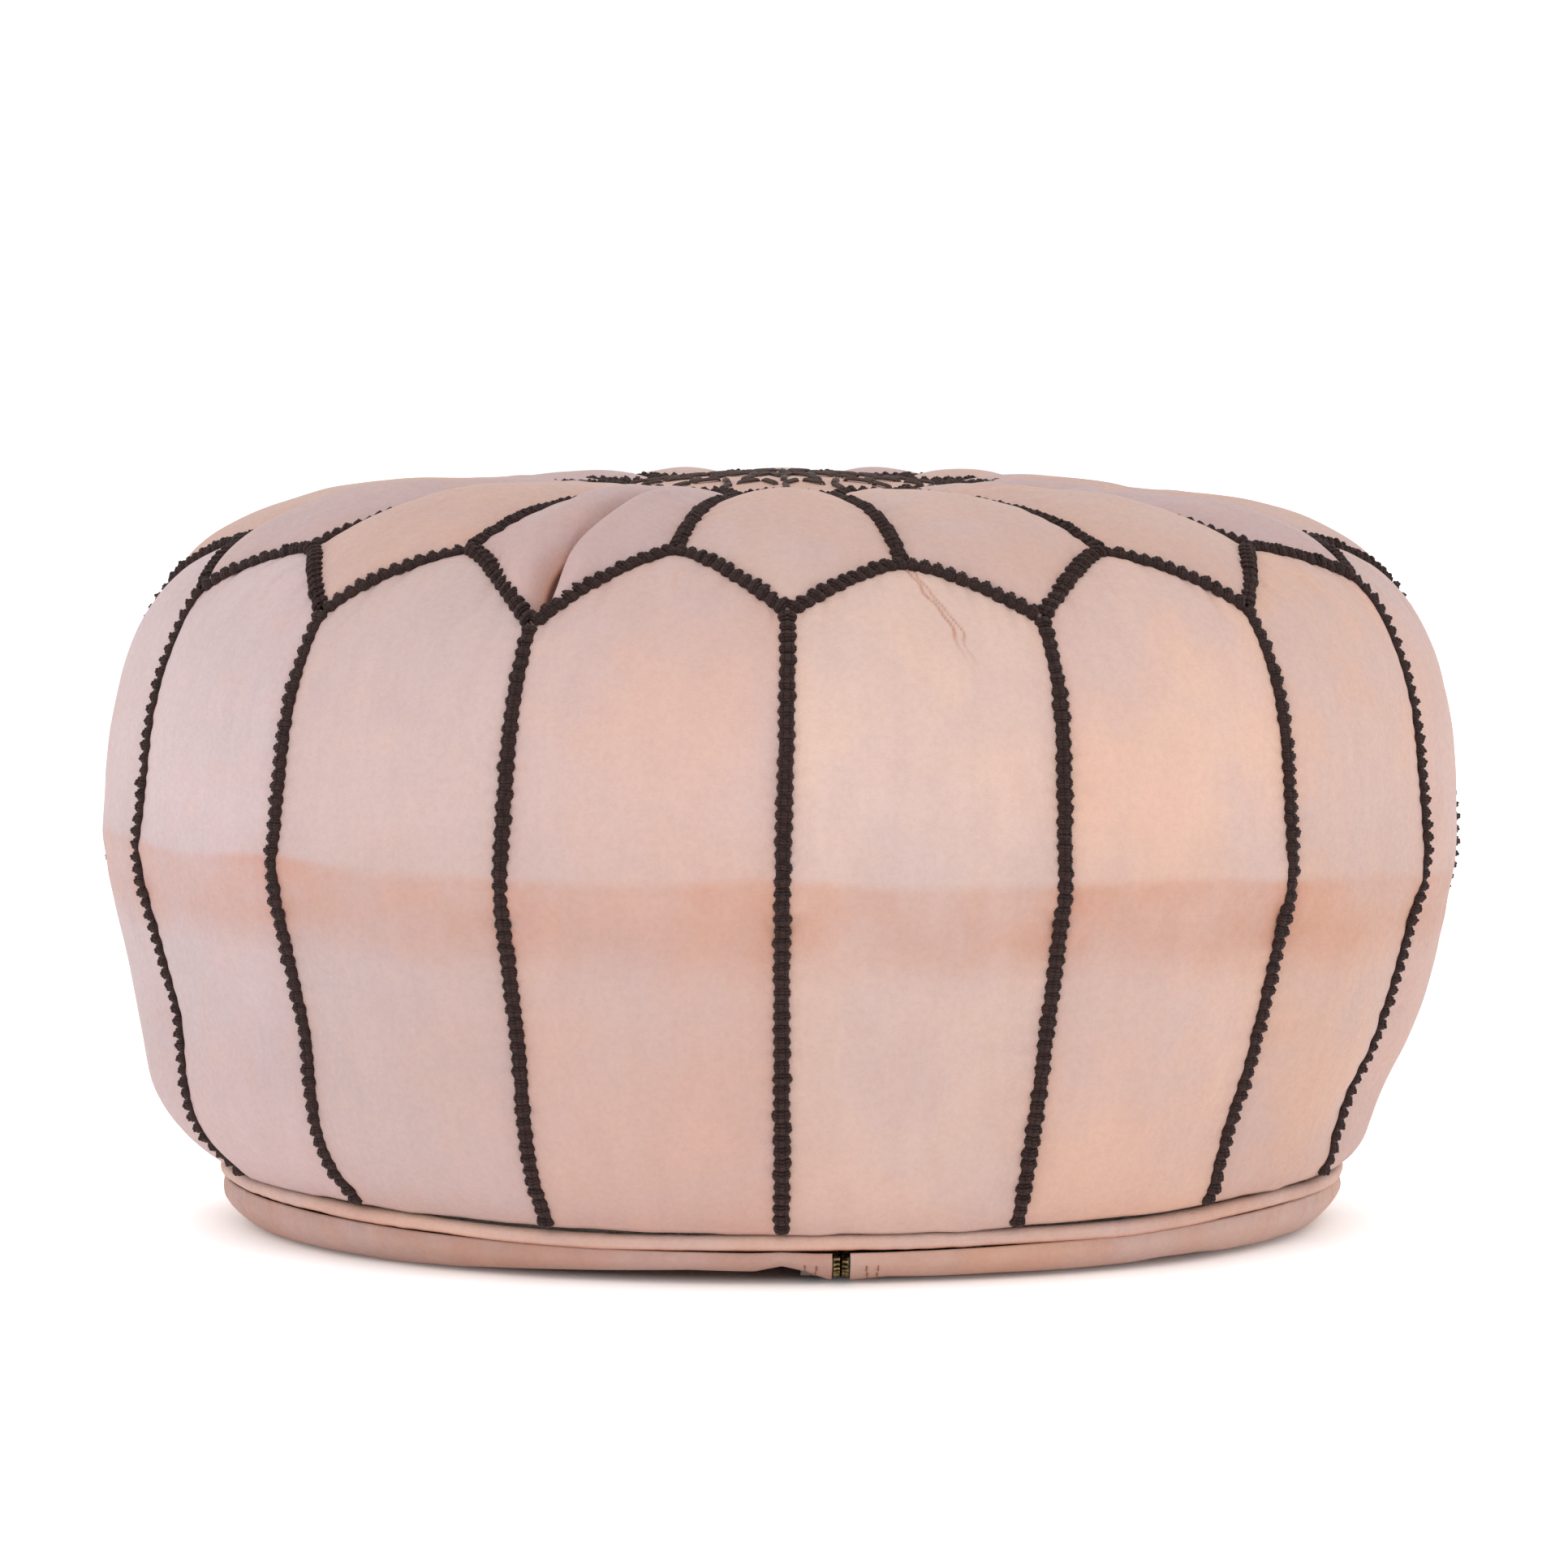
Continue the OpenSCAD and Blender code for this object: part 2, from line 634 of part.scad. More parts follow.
module stuffing() {
    places = concat([for (q = [BASE_SEAM:8:-8]) q], [for (q = [0:3:87]) q]);
    wall = [for (q = places) profile(q) - (dip(q) + leather_t + STUFFING_GAP) * outward(q)];
    tuck = [for (turn = [0:15:75]) [
        base_flat_r - 4 + (BASE_ROUND_W - stuffing_low) * sin(turn),
        stuffing_low + round_z(turn)
    ]];
    beside_welt = welt_r - welt_t / 2 - STUFFING_GAP;
    color("#efe6d6")
    difference() {
        rotate_extrude()
        polygon(concat(
            [[0, stuffing_low]], tuck, [[beside_welt, welt_z - 3], [beside_welt, welt_z + 3]], wall,
            [[0, body_h - dip(CENTRE) - leather_t - STUFFING_GAP]]
        ));
        translate([zip_x, body_r, 0])
        rotate([90, 0, 0])
        linear_extrude(body_d)
        zip_room();
    }
}

// The section of the space over the zip: the hollow of the base, and the slider's height
module zip_room() {
    top = chain_z + TAPE_T / 2 + ZIP_HEADROOM;
    polygon([
        [-GROOVE_HALF_W - 2, -1], [-GROOVE_HALF_W - 2, stuffing_low + 0.2], [-LIP - 13, top],
        [-SLIDER_HALF_W - 1.5, top], [-SLIDER_HALF_W - 1.5, chain_z + slider_half_h + ZIP_HEADROOM],
        [SLIDER_HALF_W + 1.5, chain_z + slider_half_h + ZIP_HEADROOM], [SLIDER_HALF_W + 1.5, top],
        [LIP + 13, top], [GROOVE_HALF_W + 2, stuffing_low + 0.2], [GROOVE_HALF_W + 2, -1]
    ]);
}

for (i = [1:panel_count]) {
    side_panel(i);
    top_petal(i);
}
centre_medallion();
medallion_embroidery();
side_seam_braids();
arch_braid();
top_seam_braids();
centre_ring_braid();
base_welt();
base_welt_cord();
base_panel(-1);  // base_panel_left
base_panel(1);  // base_panel_right
zip_tape(-1);  // zip_tape_left
zip_tape(1);  // zip_tape_right
zip_teeth(-1);  // zip_teeth_left
zip_teeth(1);  // zip_teeth_right
zip_stitching();
zip_slider();
zip_pull();
stuffing();
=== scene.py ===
"""Looks for a round leather pouf: stuffed leather panels, laced braids, embroidery, welt, base and zip.

Metres. The pouf stands on z = 0 with its front towards -Y. A place on the cover is an angle round
the axis, in degrees from the front, and a place along its profile: -40 at the base seam, 0 at the
widest level and 90 in the middle of the top.
"""

import itertools
import math

import bmesh
import bpy
import numpy as np
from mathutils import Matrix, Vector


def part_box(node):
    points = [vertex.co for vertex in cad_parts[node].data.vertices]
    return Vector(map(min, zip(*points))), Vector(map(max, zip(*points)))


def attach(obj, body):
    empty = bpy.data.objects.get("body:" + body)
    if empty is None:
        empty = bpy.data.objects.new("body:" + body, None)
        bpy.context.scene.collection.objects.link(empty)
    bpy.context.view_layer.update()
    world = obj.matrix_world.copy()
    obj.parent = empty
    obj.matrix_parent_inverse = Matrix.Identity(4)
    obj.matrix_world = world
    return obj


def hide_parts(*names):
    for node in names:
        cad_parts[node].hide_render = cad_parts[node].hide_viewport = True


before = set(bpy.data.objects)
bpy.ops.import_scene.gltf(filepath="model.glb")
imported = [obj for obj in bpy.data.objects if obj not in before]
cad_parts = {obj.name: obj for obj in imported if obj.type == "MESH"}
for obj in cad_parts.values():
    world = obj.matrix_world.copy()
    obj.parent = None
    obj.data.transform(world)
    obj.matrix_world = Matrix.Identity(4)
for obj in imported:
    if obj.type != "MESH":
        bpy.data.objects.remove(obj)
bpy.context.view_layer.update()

MM = 0.001

# ---- the stuffed shape, as the CAD has it ----

PANELS = 16
STEP = 360 / PANELS
BASE_SEAM, VALLEY, ARCH_TOP, RING_OUT, RING_IN, CENTRE = -40.0, 38.0, 46.0, 70.0, 75.5, 90.0
# How deep the seams lie in the padding, in mm, along the profile
DIP_PLACES = [-40, -20, -9, -4, 1, 12, 25, 38, 46, 60, 70, 75.5, 79, 83, 90]
DIPS = [2, 4, 1, -1.0, 0.2, 2.5, 4, 6.5, 7, 7, 7.5, 8, 5.5, 3.5, 1.5]
CAD_SIDE_DIP = 3 * MM
CAD_CENTRE_DIP = 2 * MM
# How square the shoulder is: 2 is a round arc
SHOULDER = 3.4
SIDE_TAPER = 25 * MM
SIDE_ROUND = 17 * MM
FOLD_Z = 155 * MM
SIDE_EDGE_Z = 25 * MM
LEATHER = 1.2 * MM
SEAM_GAP = 0.8 * MM
BRAID_W = 6.4 * MM
BRAID_H = 3.5 * MM
# Gap between the leather's edge and the line of its seam, in degrees of place
EDGE = 0.1
# How far the side leather reaches down past the CAD's edge, to the welt
SEAM_LOWER = 1.9 * MM

BODY_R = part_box("side_seam_braids")[1].x + CAD_SIDE_DIP - BRAID_H
BODY_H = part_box("centre_medallion")[1].z + CAD_CENTRE_DIP


def smooth(t):
    t = np.clip(t, 0, 1)
    return t * t * (3 - 2 * t)


def unit(v):
    return v / np.maximum(np.linalg.norm(v, axis=-1, keepdims=True), 1e-12)


def profile(place):
    """Radius and height of the padded surface."""
    place = np.asarray(place, float)
    u = np.clip(place / BASE_SEAM, 0, 1)
    turn = np.radians(np.clip(place, 0, CENTRE))
    c, s = np.maximum(np.cos(turn), 0), np.sin(turn)
    k = (c**SHOULDER + s**SHOULDER) ** (-1 / SHOULDER)
    below = place < 0
    radius = np.where(below, BODY_R - SIDE_TAPER * u - SIDE_ROUND * u**5, BODY_R * k * c)
    height = np.where(below, FOLD_Z + (SIDE_EDGE_Z - FOLD_Z) * u, FOLD_Z + (BODY_H - FOLD_Z) * k * s)
    return radius, height


def outward(place):
    """The outward direction in the profile's plane: its radial and upward parts."""
    place = np.asarray(place, float)
    r0, z0 = profile(np.maximum(place - 0.4, BASE_SEAM))
    r1, z1 = profile(np.minimum(place + 0.4, CENTRE))
    length = np.hypot(r1 - r0, z1 - z0)
    return (z1 - z0) / length, (r0 - r1) / length


def polar(angle, radius, height):
    angle = np.radians(angle)
    return np.stack(np.broadcast_arrays(radius * np.sin(angle), -radius * np.cos(angle), height), -1)


def bump(value, middle, width):
    return np.exp(-(((value - middle) / width) ** 2))


# ---- how the cover departs from the even shape ----


def slump(angle, place):
    """How far the cover stands off an even shape: full shoulders, a lean to the left, a low front edge."""
    right = np.sin(np.radians(angle))
    ahead = np.cos(np.radians(angle))
    shoulders = 2.0 * MM * right**2 * bump(place, 42, 14)
    shoulders = shoulders + 3.8 * MM * right**2 * bump(place, 39, 7)
    shoulders = shoulders - 3.8 * MM * np.maximum(right, 0) ** 2 * bump(place, 60, 6)
    lean = 1.0 * MM * bump(place, 52, 15) * (1 - smooth((place - 56) / 14))
    lean = lean + 6.0 * MM * bump(place, -31, 7) * smooth((place - BASE_SEAM) / 5)
    sag = MM * (3.6 * np.maximum(ahead, 0) ** 2 - 3.8 * np.maximum(-ahead, 0) ** 2) * bump(place, 69, 9)
    return shoulders - right * lean - sag


def seam_drop(angle):
    """How far the base seam hangs below its even height: lowest at the front, up at the sides."""
    turn = np.radians(angle)
    return MM * (4.6 * np.maximum(np.cos(turn), 0) ** 2 - 2.4 * np.sin(turn) ** 2)


# How far the arches and their valleys stand below an even line, in degrees of place, round the pouf
UNEVEN_ANGLES = [
    -180, -112, -90, -67.5, -45, -33.75, -22.5, -11.25, 0,
    11.25, 22.5, 33.75, 45, 67.5, 90, 135, 180,
]
UNEVEN_DROPS = [
    0.5, -0.8, 1.0, 0.8, 2.6, 0.0, 3.4, -1.2, 1.2,
    2.6, 2.4, 0.0, 2.0, -1.2, 0.8, 1.4, 0.5,
]
# How far the top is turned over the sides, in degrees
TWIST = 0.5


def seams_at(angle, place):
    """Where a point of the even pattern comes to lie: seams are uneven, and the top is turned a little."""
    round_angle = (np.asarray(angle, float) + 180) % 360 - 180
    drop = np.interp(round_angle, UNEVEN_ANGLES, UNEVEN_DROPS) * bump(place, 37, 14)
    return angle + TWIST * smooth((place + 10) / 45), place - drop


def on_body(angle, place, lift):
    angle, place = seams_at(angle, np.asarray(place, float))
    r, z = profile(place)
    out, up = outward(place)
    lift = lift + slump(angle, place)
    drop = (seam_drop(angle) + SEAM_LOWER) * smooth((-18 - place) / 22)
    return polar(angle, r + lift * out, z + lift * up - drop)


def normal_at(angle, place):
    angle, place = seams_at(angle, np.asarray(place, float))
    out, up = outward(place)
    return polar(angle, out, up)


# ---- the pattern of the panels ----


def dip(place):
    return MM * np.interp(place, DIP_PLACES, DIPS)


def arch_place(across):
    return ARCH_TOP - (ARCH_TOP - VALLEY) * np.abs(across) ** 1.5


def ring_place(across):
    return RING_IN + (RING_OUT - RING_IN) * across**2


def half_panel(place):
    """Half a panel's width as an angle, less the seam gap."""
    return STEP / 2 - np.degrees(np.arcsin(SEAM_GAP / 2 / np.maximum(profile(place)[0], MM)))


# ---- noise ----


def lattice(cells, seed):
    """A repeatable value from -1 to 1 for each whole-number cell."""
    mixed = cells.astype(np.int64) * np.array([374761393, 668265263, 2147483647])
    mixed = (mixed.sum(-1) + seed * 1274126177) & 0xFFFFFFFF
    mixed = ((mixed ^ (mixed >> 13)) * 1103515245) & 0xFFFFFFFF
    mixed = ((mixed ^ (mixed >> 16)) * 69069) & 0xFFFFFFFF
    return (mixed ^ (mixed >> 15)) / 0x7FFFFFFF - 1


def noise(points, size, seed=0):
    """Smooth noise from about -1 to 1, with features of that size."""
    cell = np.asarray(points, float) / size
    base = np.floor(cell)
    part = cell - base
    part = part * part * (3 - 2 * part)
    total = 0
    for corner in itertools.product((0, 1), repeat=3):
        weight = np.prod(np.where(corner, part, 1 - part), axis=-1)
        total = total + weight * lattice(base + np.array(corner), seed)
    return total


def pucker(along, away, pitch, reach, seed):
    """Ridges that start at a seam, run away from it and die out."""
    points = np.stack(np.broadcast_arrays(along / pitch, away / (5 * pitch), 0.5), -1)
    return noise(points, 1, seed) * np.exp(-away / reach)


# ---- meshes ----


def set_all(thing, **settings):
    for key, value in settings.items():
        setattr(thing, key, value)


def add_object(name, data):
    obj = bpy.data.objects.new(name, data)
    bpy.context.scene.collection.objects.link(obj)
    return obj


def add_mesh(name, points, quads, material, attributes=None):
    """A smooth-shaded mesh object from points and quads, with values stored on its points."""
    points = np.asarray(points, np.float32).reshape(-1, 3)
    quads = np.asarray(quads, np.int32).reshape(-1, 4)
    mesh = bpy.data.meshes.new(name)
    mesh.vertices.add(len(points))
    mesh.vertices.foreach_set("co", points.ravel())
    mesh.loops.add(quads.size)
    mesh.loops.foreach_set("vertex_index", quads.ravel())
    mesh.polygons.add(len(quads))
    mesh.polygons.foreach_set("loop_start", np.arange(0, quads.size, 4, dtype=np.int32))
    mesh.update(calc_edges=True)
    mesh.polygons.foreach_set("use_smooth", np.ones(len(quads), bool))
    for key, values in (attributes or {}).items():
        values = np.asarray(values, np.float32)
        kind, field = ("FLOAT_VECTOR", "vector") if values.size == points.size else ("FLOAT", "value")
        mesh.attributes.new(key, kind, "POINT").data.foreach_set(field, values.ravel())
    mesh.materials.append(material)
    return add_object(name, mesh)


def stand_in(obj, name, body="cover"):
    """The piece takes the CAD node's place, on that body."""
    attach(obj, body)
    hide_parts(name)


def add_piece(piece, name, slot, points, quads, material, **values):
    """A visual piece that stands for a CAD node of the cover, with values stored on its points."""
    obj = add_mesh(piece, points, quads, material, values)
    stand_in(obj, name)
    return obj


def faces(at, closed=False, turned=False):
    """Quads of a grid of point numbers. Its columns may close into a ring, and its quads may turn over."""
    if closed:
        at = np.concatenate([at, at[..., :1]], axis=-1)
    corners = [at[..., :-1, :-1], at[..., :-1, 1:], at[..., 1:, 1:], at[..., 1:, :-1]]
    quads = np.stack(corners, -1).reshape(-1, 4)
    return quads[:, [0, 3, 2, 1]] if turned else quads


def shell(outer, inner):
    """Points and quads of a closed sheet between two grids of points."""
    rows, cols = outer.shape[:2]
    n = rows * cols
    at = np.arange(n).reshape(rows, cols)
    face = faces(at)
    loop = np.concatenate([at[0, :-1], at[:-1, -1], at[-1, :0:-1], at[:0:-1, 0]])
    ahead = np.roll(loop, -1)
    rim = np.stack([ahead, loop, n + loop, n + ahead], -1)
    points = np.concatenate([outer.reshape(-1, 3), inner.reshape(-1, 3)])
    return points, np.concatenate([face, n + face[:, ::-1], rim])


def tubes(paths, radius, away, sides=6):
    """Points, quads and thread coordinates of tubes along many paths of as many points.

    away is a direction that no path runs along.
    """
    count, length = paths.shape[:2]
    tangent = unit(np.gradient(paths, axis=1))
    side = unit(np.cross(tangent, away))
    up = np.cross(side, tangent)
    turn = np.arange(sides) * 2 * math.pi / sides
    ring = np.cos(turn)[:, None] * side[:, :, None] + np.sin(turn)[:, None] * up[:, :, None]
    points = paths[:, :, None] + radius[..., None, None] * ring
    quads = faces(np.arange(count * length * sides).reshape(count, length, sides), True, True)
    steps = np.linalg.norm(np.diff(paths, axis=1), axis=-1)
    run = np.concatenate([np.zeros((count, 1)), np.cumsum(steps, axis=1)], axis=1)
    start = np.arange(count)[:, None] * 0.013
    spin = turn + run[..., None] / (0.9 * MM)
    along = np.broadcast_to((start + run)[..., None], spin.shape)
    thread = np.stack([along, MM * np.cos(spin), MM * np.sin(spin)], -1)
    return points.reshape(-1, 3), quads, thread.reshape(-1, 3)


# ---- materials ----


def linear(value):
    """A 0 to 255 screen value, as the linear value that shaders take."""
    return value / 255 / 12.92 if value <= 10 else ((value / 255 + 0.055) / 1.055) ** 2.4


def srgb(r, g, b):
    return linear(r), linear(g), linear(b), 1


def node(tree, kind, inputs=None, **settings):
    made = tree.nodes.new("ShaderNode" + kind)
    set_all(made, **settings)
    for key, value in (inputs or {}).items():
        socket = made.inputs[key]
        if isinstance(value, bpy.types.NodeSocket):
            tree.links.new(value, socket)
        else:
            socket.default_value = value
    return made


def blend_colours(tree, factor, a, b, how="MIX"):
    return node(tree, "Mix", {0: factor, 6: a, 7: b}, data_type="RGBA", blend_type=how).outputs[2]


def remap(tree, value, low, high, to_low=0.0, to_high=1.0):
    """value moved from the range low to high onto another range, and kept in it."""
    ends = {"Value": value, "From Min": low, "From Max": high, "To Min": to_low, "To Max": to_high}
    return node(tree, "MapRange", ends, interpolation_type="SMOOTHSTEP").outputs[0]


def maths(tree, how, a, b=0.5):
    return node(tree, "Math", {0: a, 1: b}, operation=how).outputs[0]


def texture(tree, where, scale, detail=3.0, rough=0.5, stretch=(1, 1, 1), offset=0.0):
    """A noise texture's value over coordinates that may be stretched."""
    moved = node(tree, "Mapping", {"Vector": where, "Scale": stretch, "Location": (offset,) * 3}).outputs[0]
    inputs = {"Vector": moved, "Scale": scale, "Detail": detail, "Roughness": rough}
    return node(tree, "TexNoise", inputs).outputs[0]


def new_material(name, roughness):
    made = bpy.data.materials.new(name)
    made.use_nodes = True
    shader = made.node_tree.nodes["Principled BSDF"]
    shader.inputs["Roughness"].default_value = roughness
    return made, made.node_tree, shader


def finish(tree, shader, colour, height, strength, distance):
    """Give a material its colour, and a bump of that strength and depth."""
    tree.links.new(colour, shader.inputs["Base Color"])
    made = node(tree, "Bump", {"Height": height, "Strength": strength, "Distance": distance})
    tree.links.new(made.outputs[0], shader.inputs["Normal"])


def object_place(tree):
    return node(tree, "TexCoord").outputs["Object"]


def attribute(tree, name, output="Vector"):
    return node(tree, "Attribute", attribute_type="GEOMETRY", attribute_name=name).outputs[output]


LILAC = srgb(194, 174, 175)
PEACH = srgb(214, 180, 164)
TAN = srgb(198, 134, 104)
# Brown, mostly for painted shade in creases, in the petal's fold, under the welt and low on the base; also
# the darkest stain by the seams
STAIN_AND_SHADE_BROWN = srgb(78, 42, 32)


def leather(name, tint, seed, tan=0.6):
    """Natural undyed leather: mottled, with a fine grain. Its stain value holds both real stains and painted
    shade: tan up to 1, brown up to 2. Painted shade also darkens its lower part.
    """
    made, tree, shader = new_material(name, 0.62)
    where = object_place(tree)
    cut = attribute(tree, "cut_place")
    stain = attribute(tree, "stain", "Fac")
    clouds = texture(tree, where, 14, 4, 0.55, offset=seed)
    blots = texture(tree, where, 60, 4, 0.6, offset=seed + 3)
    streaks = texture(tree, cut, 1, 4, 0.6, stretch=(110, 30, 1), offset=seed)
    colour = blend_colours(tree, remap(tree, clouds, 0.36, 0.66, 0.0, 0.5), tint, LILAC)
    colour = blend_colours(tree, remap(tree, blots, 0.45, 0.75, 0.0, 0.22), colour, PEACH)
    # Tan as the stain value goes to 1, for real stains and for painted shade alike
    tan_stain_and_shade = maths(tree, "MULTIPLY", stain, remap(tree, blots, 0.2, 0.7, 0.55, 1.0))
    colour = blend_colours(tree, maths(tree, "MULTIPLY", tan_stain_and_shade, tan), colour, TAN)
    # Brown as the stain value goes from 1 to 2, mostly painted shade
    colour = blend_colours(tree, remap(tree, stain, 1.0, 2.0), colour, STAIN_AND_SHADE_BROWN)
    # Painted shade: the leather is drawn darker low down, at 0.89 below 0.13 m high and full above 0.185 m,
    # standing in for the lower part's lesser light
    height = node(tree, "SeparateXYZ", {0: where}).outputs[2]
    painted_low_shade = remap(tree, height, 0.13, 0.185, 0.89, 1.0)
    shade = maths(tree, "MULTIPLY", remap(tree, streaks, 0.3, 0.7, 0.97, 1.01), painted_low_shade)
    grey = node(tree, "CombineColor", {0: shade, 1: shade, 2: shade}).outputs[0]
    colour = blend_colours(tree, 1.0, colour, grey, "MULTIPLY")
    pores = node(tree, "TexVoronoi", {"Vector": where, "Scale": 1100.0}, feature="F1")
    grain = texture(tree, where, 420, 5, 0.65, offset=seed)
    creases = texture(tree, cut, 1, 6, 0.65, stretch=(120, 200, 1), offset=seed + 7)
    colour = blend_colours(tree, remap(tree, grain, 0.35, 0.7, 0.0, 0.09), colour, srgb(150, 110, 96))
    tree.links.new(remap(tree, grain, 0.25, 0.75, 0.52, 0.74), shader.inputs["Roughness"])
    shader.inputs["Specular IOR Level"].default_value = 0.35
    relief = maths(tree, "ADD", maths(tree, "MULTIPLY", pores.outputs["Distance"], 0.55), grain)
    relief = maths(tree, "ADD", relief, maths(tree, "MULTIPLY", creases, 1.4))
    finish(tree, shader, colour, relief, 0.38, 0.5 * MM)
    return made


def thread_material(name, dark, light, roughness=0.7):
    """Twisted thread: strands along it, and a faint sheen."""
    made, tree, shader = new_material(name, roughness)
    thread = attribute(tree, "thread_place")
    where = object_place(tree)
    strands = texture(tree, thread, 1, 3, 0.6, stretch=(350, 2600, 2600))
    patches = texture(tree, where, 260, 3)
    colour = blend_colours(tree, remap(tree, strands, 0.35, 0.7), dark, light)
    colour = blend_colours(tree, remap(tree, patches, 0.5, 0.75, 0.0, 0.6), colour, dark)
    shader.inputs["Sheen Weight"].default_value = 0.08
    shader.inputs["Sheen Roughness"].default_value = 0.45
    shader.inputs["Specular IOR Level"].default_value = 0.3
    finish(tree, shader, colour, strands, 0.6, 0.25 * MM)
    return made


def metal_material(name, bright, dull):
    """Aged brass: bright where it is rubbed, dull and darker in patches, with fine scratches."""
    made, tree, shader = new_material(name, 0.4)
    where = object_place(tree)
    patina = texture(tree, where, 500, 4, 0.6)
    scratches = texture(tree, where, 1, 3, 0.7, stretch=(900, 9000, 900))
    colour = blend_colours(tree, remap(tree, patina, 0.4, 0.65), bright, dull)
    tree.links.new(remap(tree, patina, 0.3, 0.7, 0.3, 0.55), shader.inputs["Roughness"])
    shader.inputs["Metallic"].default_value = 1.0
    finish(tree, shader, colour, scratches, 0.25, 0.1 * MM)
    return made


def woven_material(name, dark, light, pitch, roughness=0.85):
    """Cloth with warp and weft threads of that pitch, over the cut_place of a piece."""
    made, tree, shader = new_material(name, roughness)
    cut = attribute(tree, "cut_place")
    turns = 2 * math.pi / pitch
    axes = node(tree, "SeparateXYZ", {0: cut}).outputs
    warp = maths(tree, "SINE", maths(tree, "MULTIPLY", axes[0], turns))
    weft = maths(tree, "SINE", maths(tree, "MULTIPLY", axes[1], turns))
    weave = maths(tree, "MULTIPLY", warp, weft)
    fuzz = texture(tree, cut, 900, 3)
    colour = blend_colours(tree, remap(tree, weave, -0.8, 0.8), dark, light)
    colour = blend_colours(tree, remap(tree, fuzz, 0.4, 0.8, 0.0, 0.5), colour, dark)
    shader.inputs["Sheen Weight"].default_value = 0.3
    finish(tree, shader, colour, maths(tree, "ADD", weave, fuzz), 0.5, 0.2 * MM)
    return made


def stuffing_material():
    made, tree, shader = new_material("cotton_stuffing", 0.95)
    where = object_place(tree)
    tufts = texture(tree, where, 120, 6, 0.7)
    colour = blend_colours(tree, remap(tree, tufts, 0.3, 0.7), srgb(205, 196, 178), srgb(240, 235, 222))
    shader.inputs["Sheen Weight"].default_value = 0.4
    finish(tree, shader, colour, tufts, 0.8, 2 * MM)
    return made


# Colour of each side panel, from number 1 at the right of the front seam, round by the right
SAND = srgb(216, 185, 172)
APRICOT = srgb(221, 182, 164)
CLAY = srgb(214, 174, 155)
ROSE = srgb(208, 172, 160)
DUSTY_PINK = srgb(201, 174, 169)
PINK_GREY = srgb(204, 181, 182)
SIDE_TINTS = [
    SAND, APRICOT, CLAY, ROSE, SAND, ROSE, CLAY, PINK_GREY,
    ROSE, SAND, CLAY, DUSTY_PINK, PINK_GREY, PINK_GREY, DUSTY_PINK, ROSE,
]
PETAL_PINK = srgb(193, 167, 166)
PETAL_PEACH = srgb(205, 172, 160)
PETAL_TINTS = [
    PETAL_PEACH, PETAL_PEACH, PETAL_PEACH, PETAL_PINK, PETAL_PEACH, PETAL_PINK, PETAL_PEACH, PETAL_PINK,
    PETAL_PINK, PETAL_PEACH, PETAL_PINK, PETAL_PINK, PETAL_PEACH, PETAL_PINK, PETAL_PEACH, PETAL_PINK,
]

BROWN = srgb(21, 10, 9)
BROWN_LIGHT = srgb(70, 41, 35)
braid_thread = thread_material("braid_thread", BROWN, BROWN_LIGHT)
embroidery_thread = thread_material("embroidery_thread", srgb(48, 34, 30), srgb(98, 74, 66))
sewing_thread = thread_material("sewing_thread", srgb(120, 74, 52), srgb(176, 120, 92))
cord_thread = thread_material("cord_thread", srgb(150, 124, 88), srgb(206, 184, 146), 0.9)
brass = metal_material("antique_brass", srgb(166, 142, 98), srgb(84, 72, 50))
zip_cloth = woven_material("zip_cloth", srgb(58, 56, 42), srgb(104, 99, 76), 0.9 * MM)


# ---- how the leather settles over the stuffing ----

# The cloth is simulated larger than life, which keeps its small moves steady
CLOTH_SCALE = 10
CLOTH_FRAMES = 20
# Points up and across each simulated panel
SIDE_CLOTH = (72, 29)
PETAL_CLOTH = (30, 29)
LARGEST_MOVE = 6 * MM
# How much larger the leather is cut than the even surface, as a share
SLACK = 0.011


def columns(count):
    """Places across a panel from -1 to 1, closer together towards the seams."""
    t = np.linspace(-1, 1, count)
    return 0.6 * t + 0.4 * np.sin(t * math.pi / 2)


def side_place(t, across):
    return BASE_SEAM + (arch_place(across) - EDGE - BASE_SEAM) * t


def petal_place(t, across):
    bottom = arch_place(1 - np.abs(across)) + EDGE
    return bottom + (ring_place(across) - EDGE - bottom) * t


def side_start(t, across, place):
    """How far a side panel stands off the even shape before it settles: held down at its seams."""
    crown = (1 - 0.5 * across**2 - 0.5 * across**6) * (1 - t**6)
    return dip(place) * (crown - 1) - crown * MM * (1.8 + 1.6 * smooth(place / 8))


def petal_start(t, across, place):
    crown = (1 - 0.6 * across**2 - 0.4 * across**6) * (1 - np.maximum(t**8, (1 - t) ** 8))
    return dip(place) * (crown - 1) - crown * MM * (0.6 + 2.6 * smooth((place - 52) / 14))


def panel_grid(side, middle, size):
    """A panel's places up and across, their angles and profile places, and how far they stand off."""
    t = np.linspace(0, 1, size[0])[:, None]
    across = np.broadcast_to(columns(size[1]), size)
    place = (side_place if side else petal_place)(t, across)
    angle = middle + across * half_panel(place)
    return t, across, angle, place, (side_start if side else petal_start)(t, across, place)


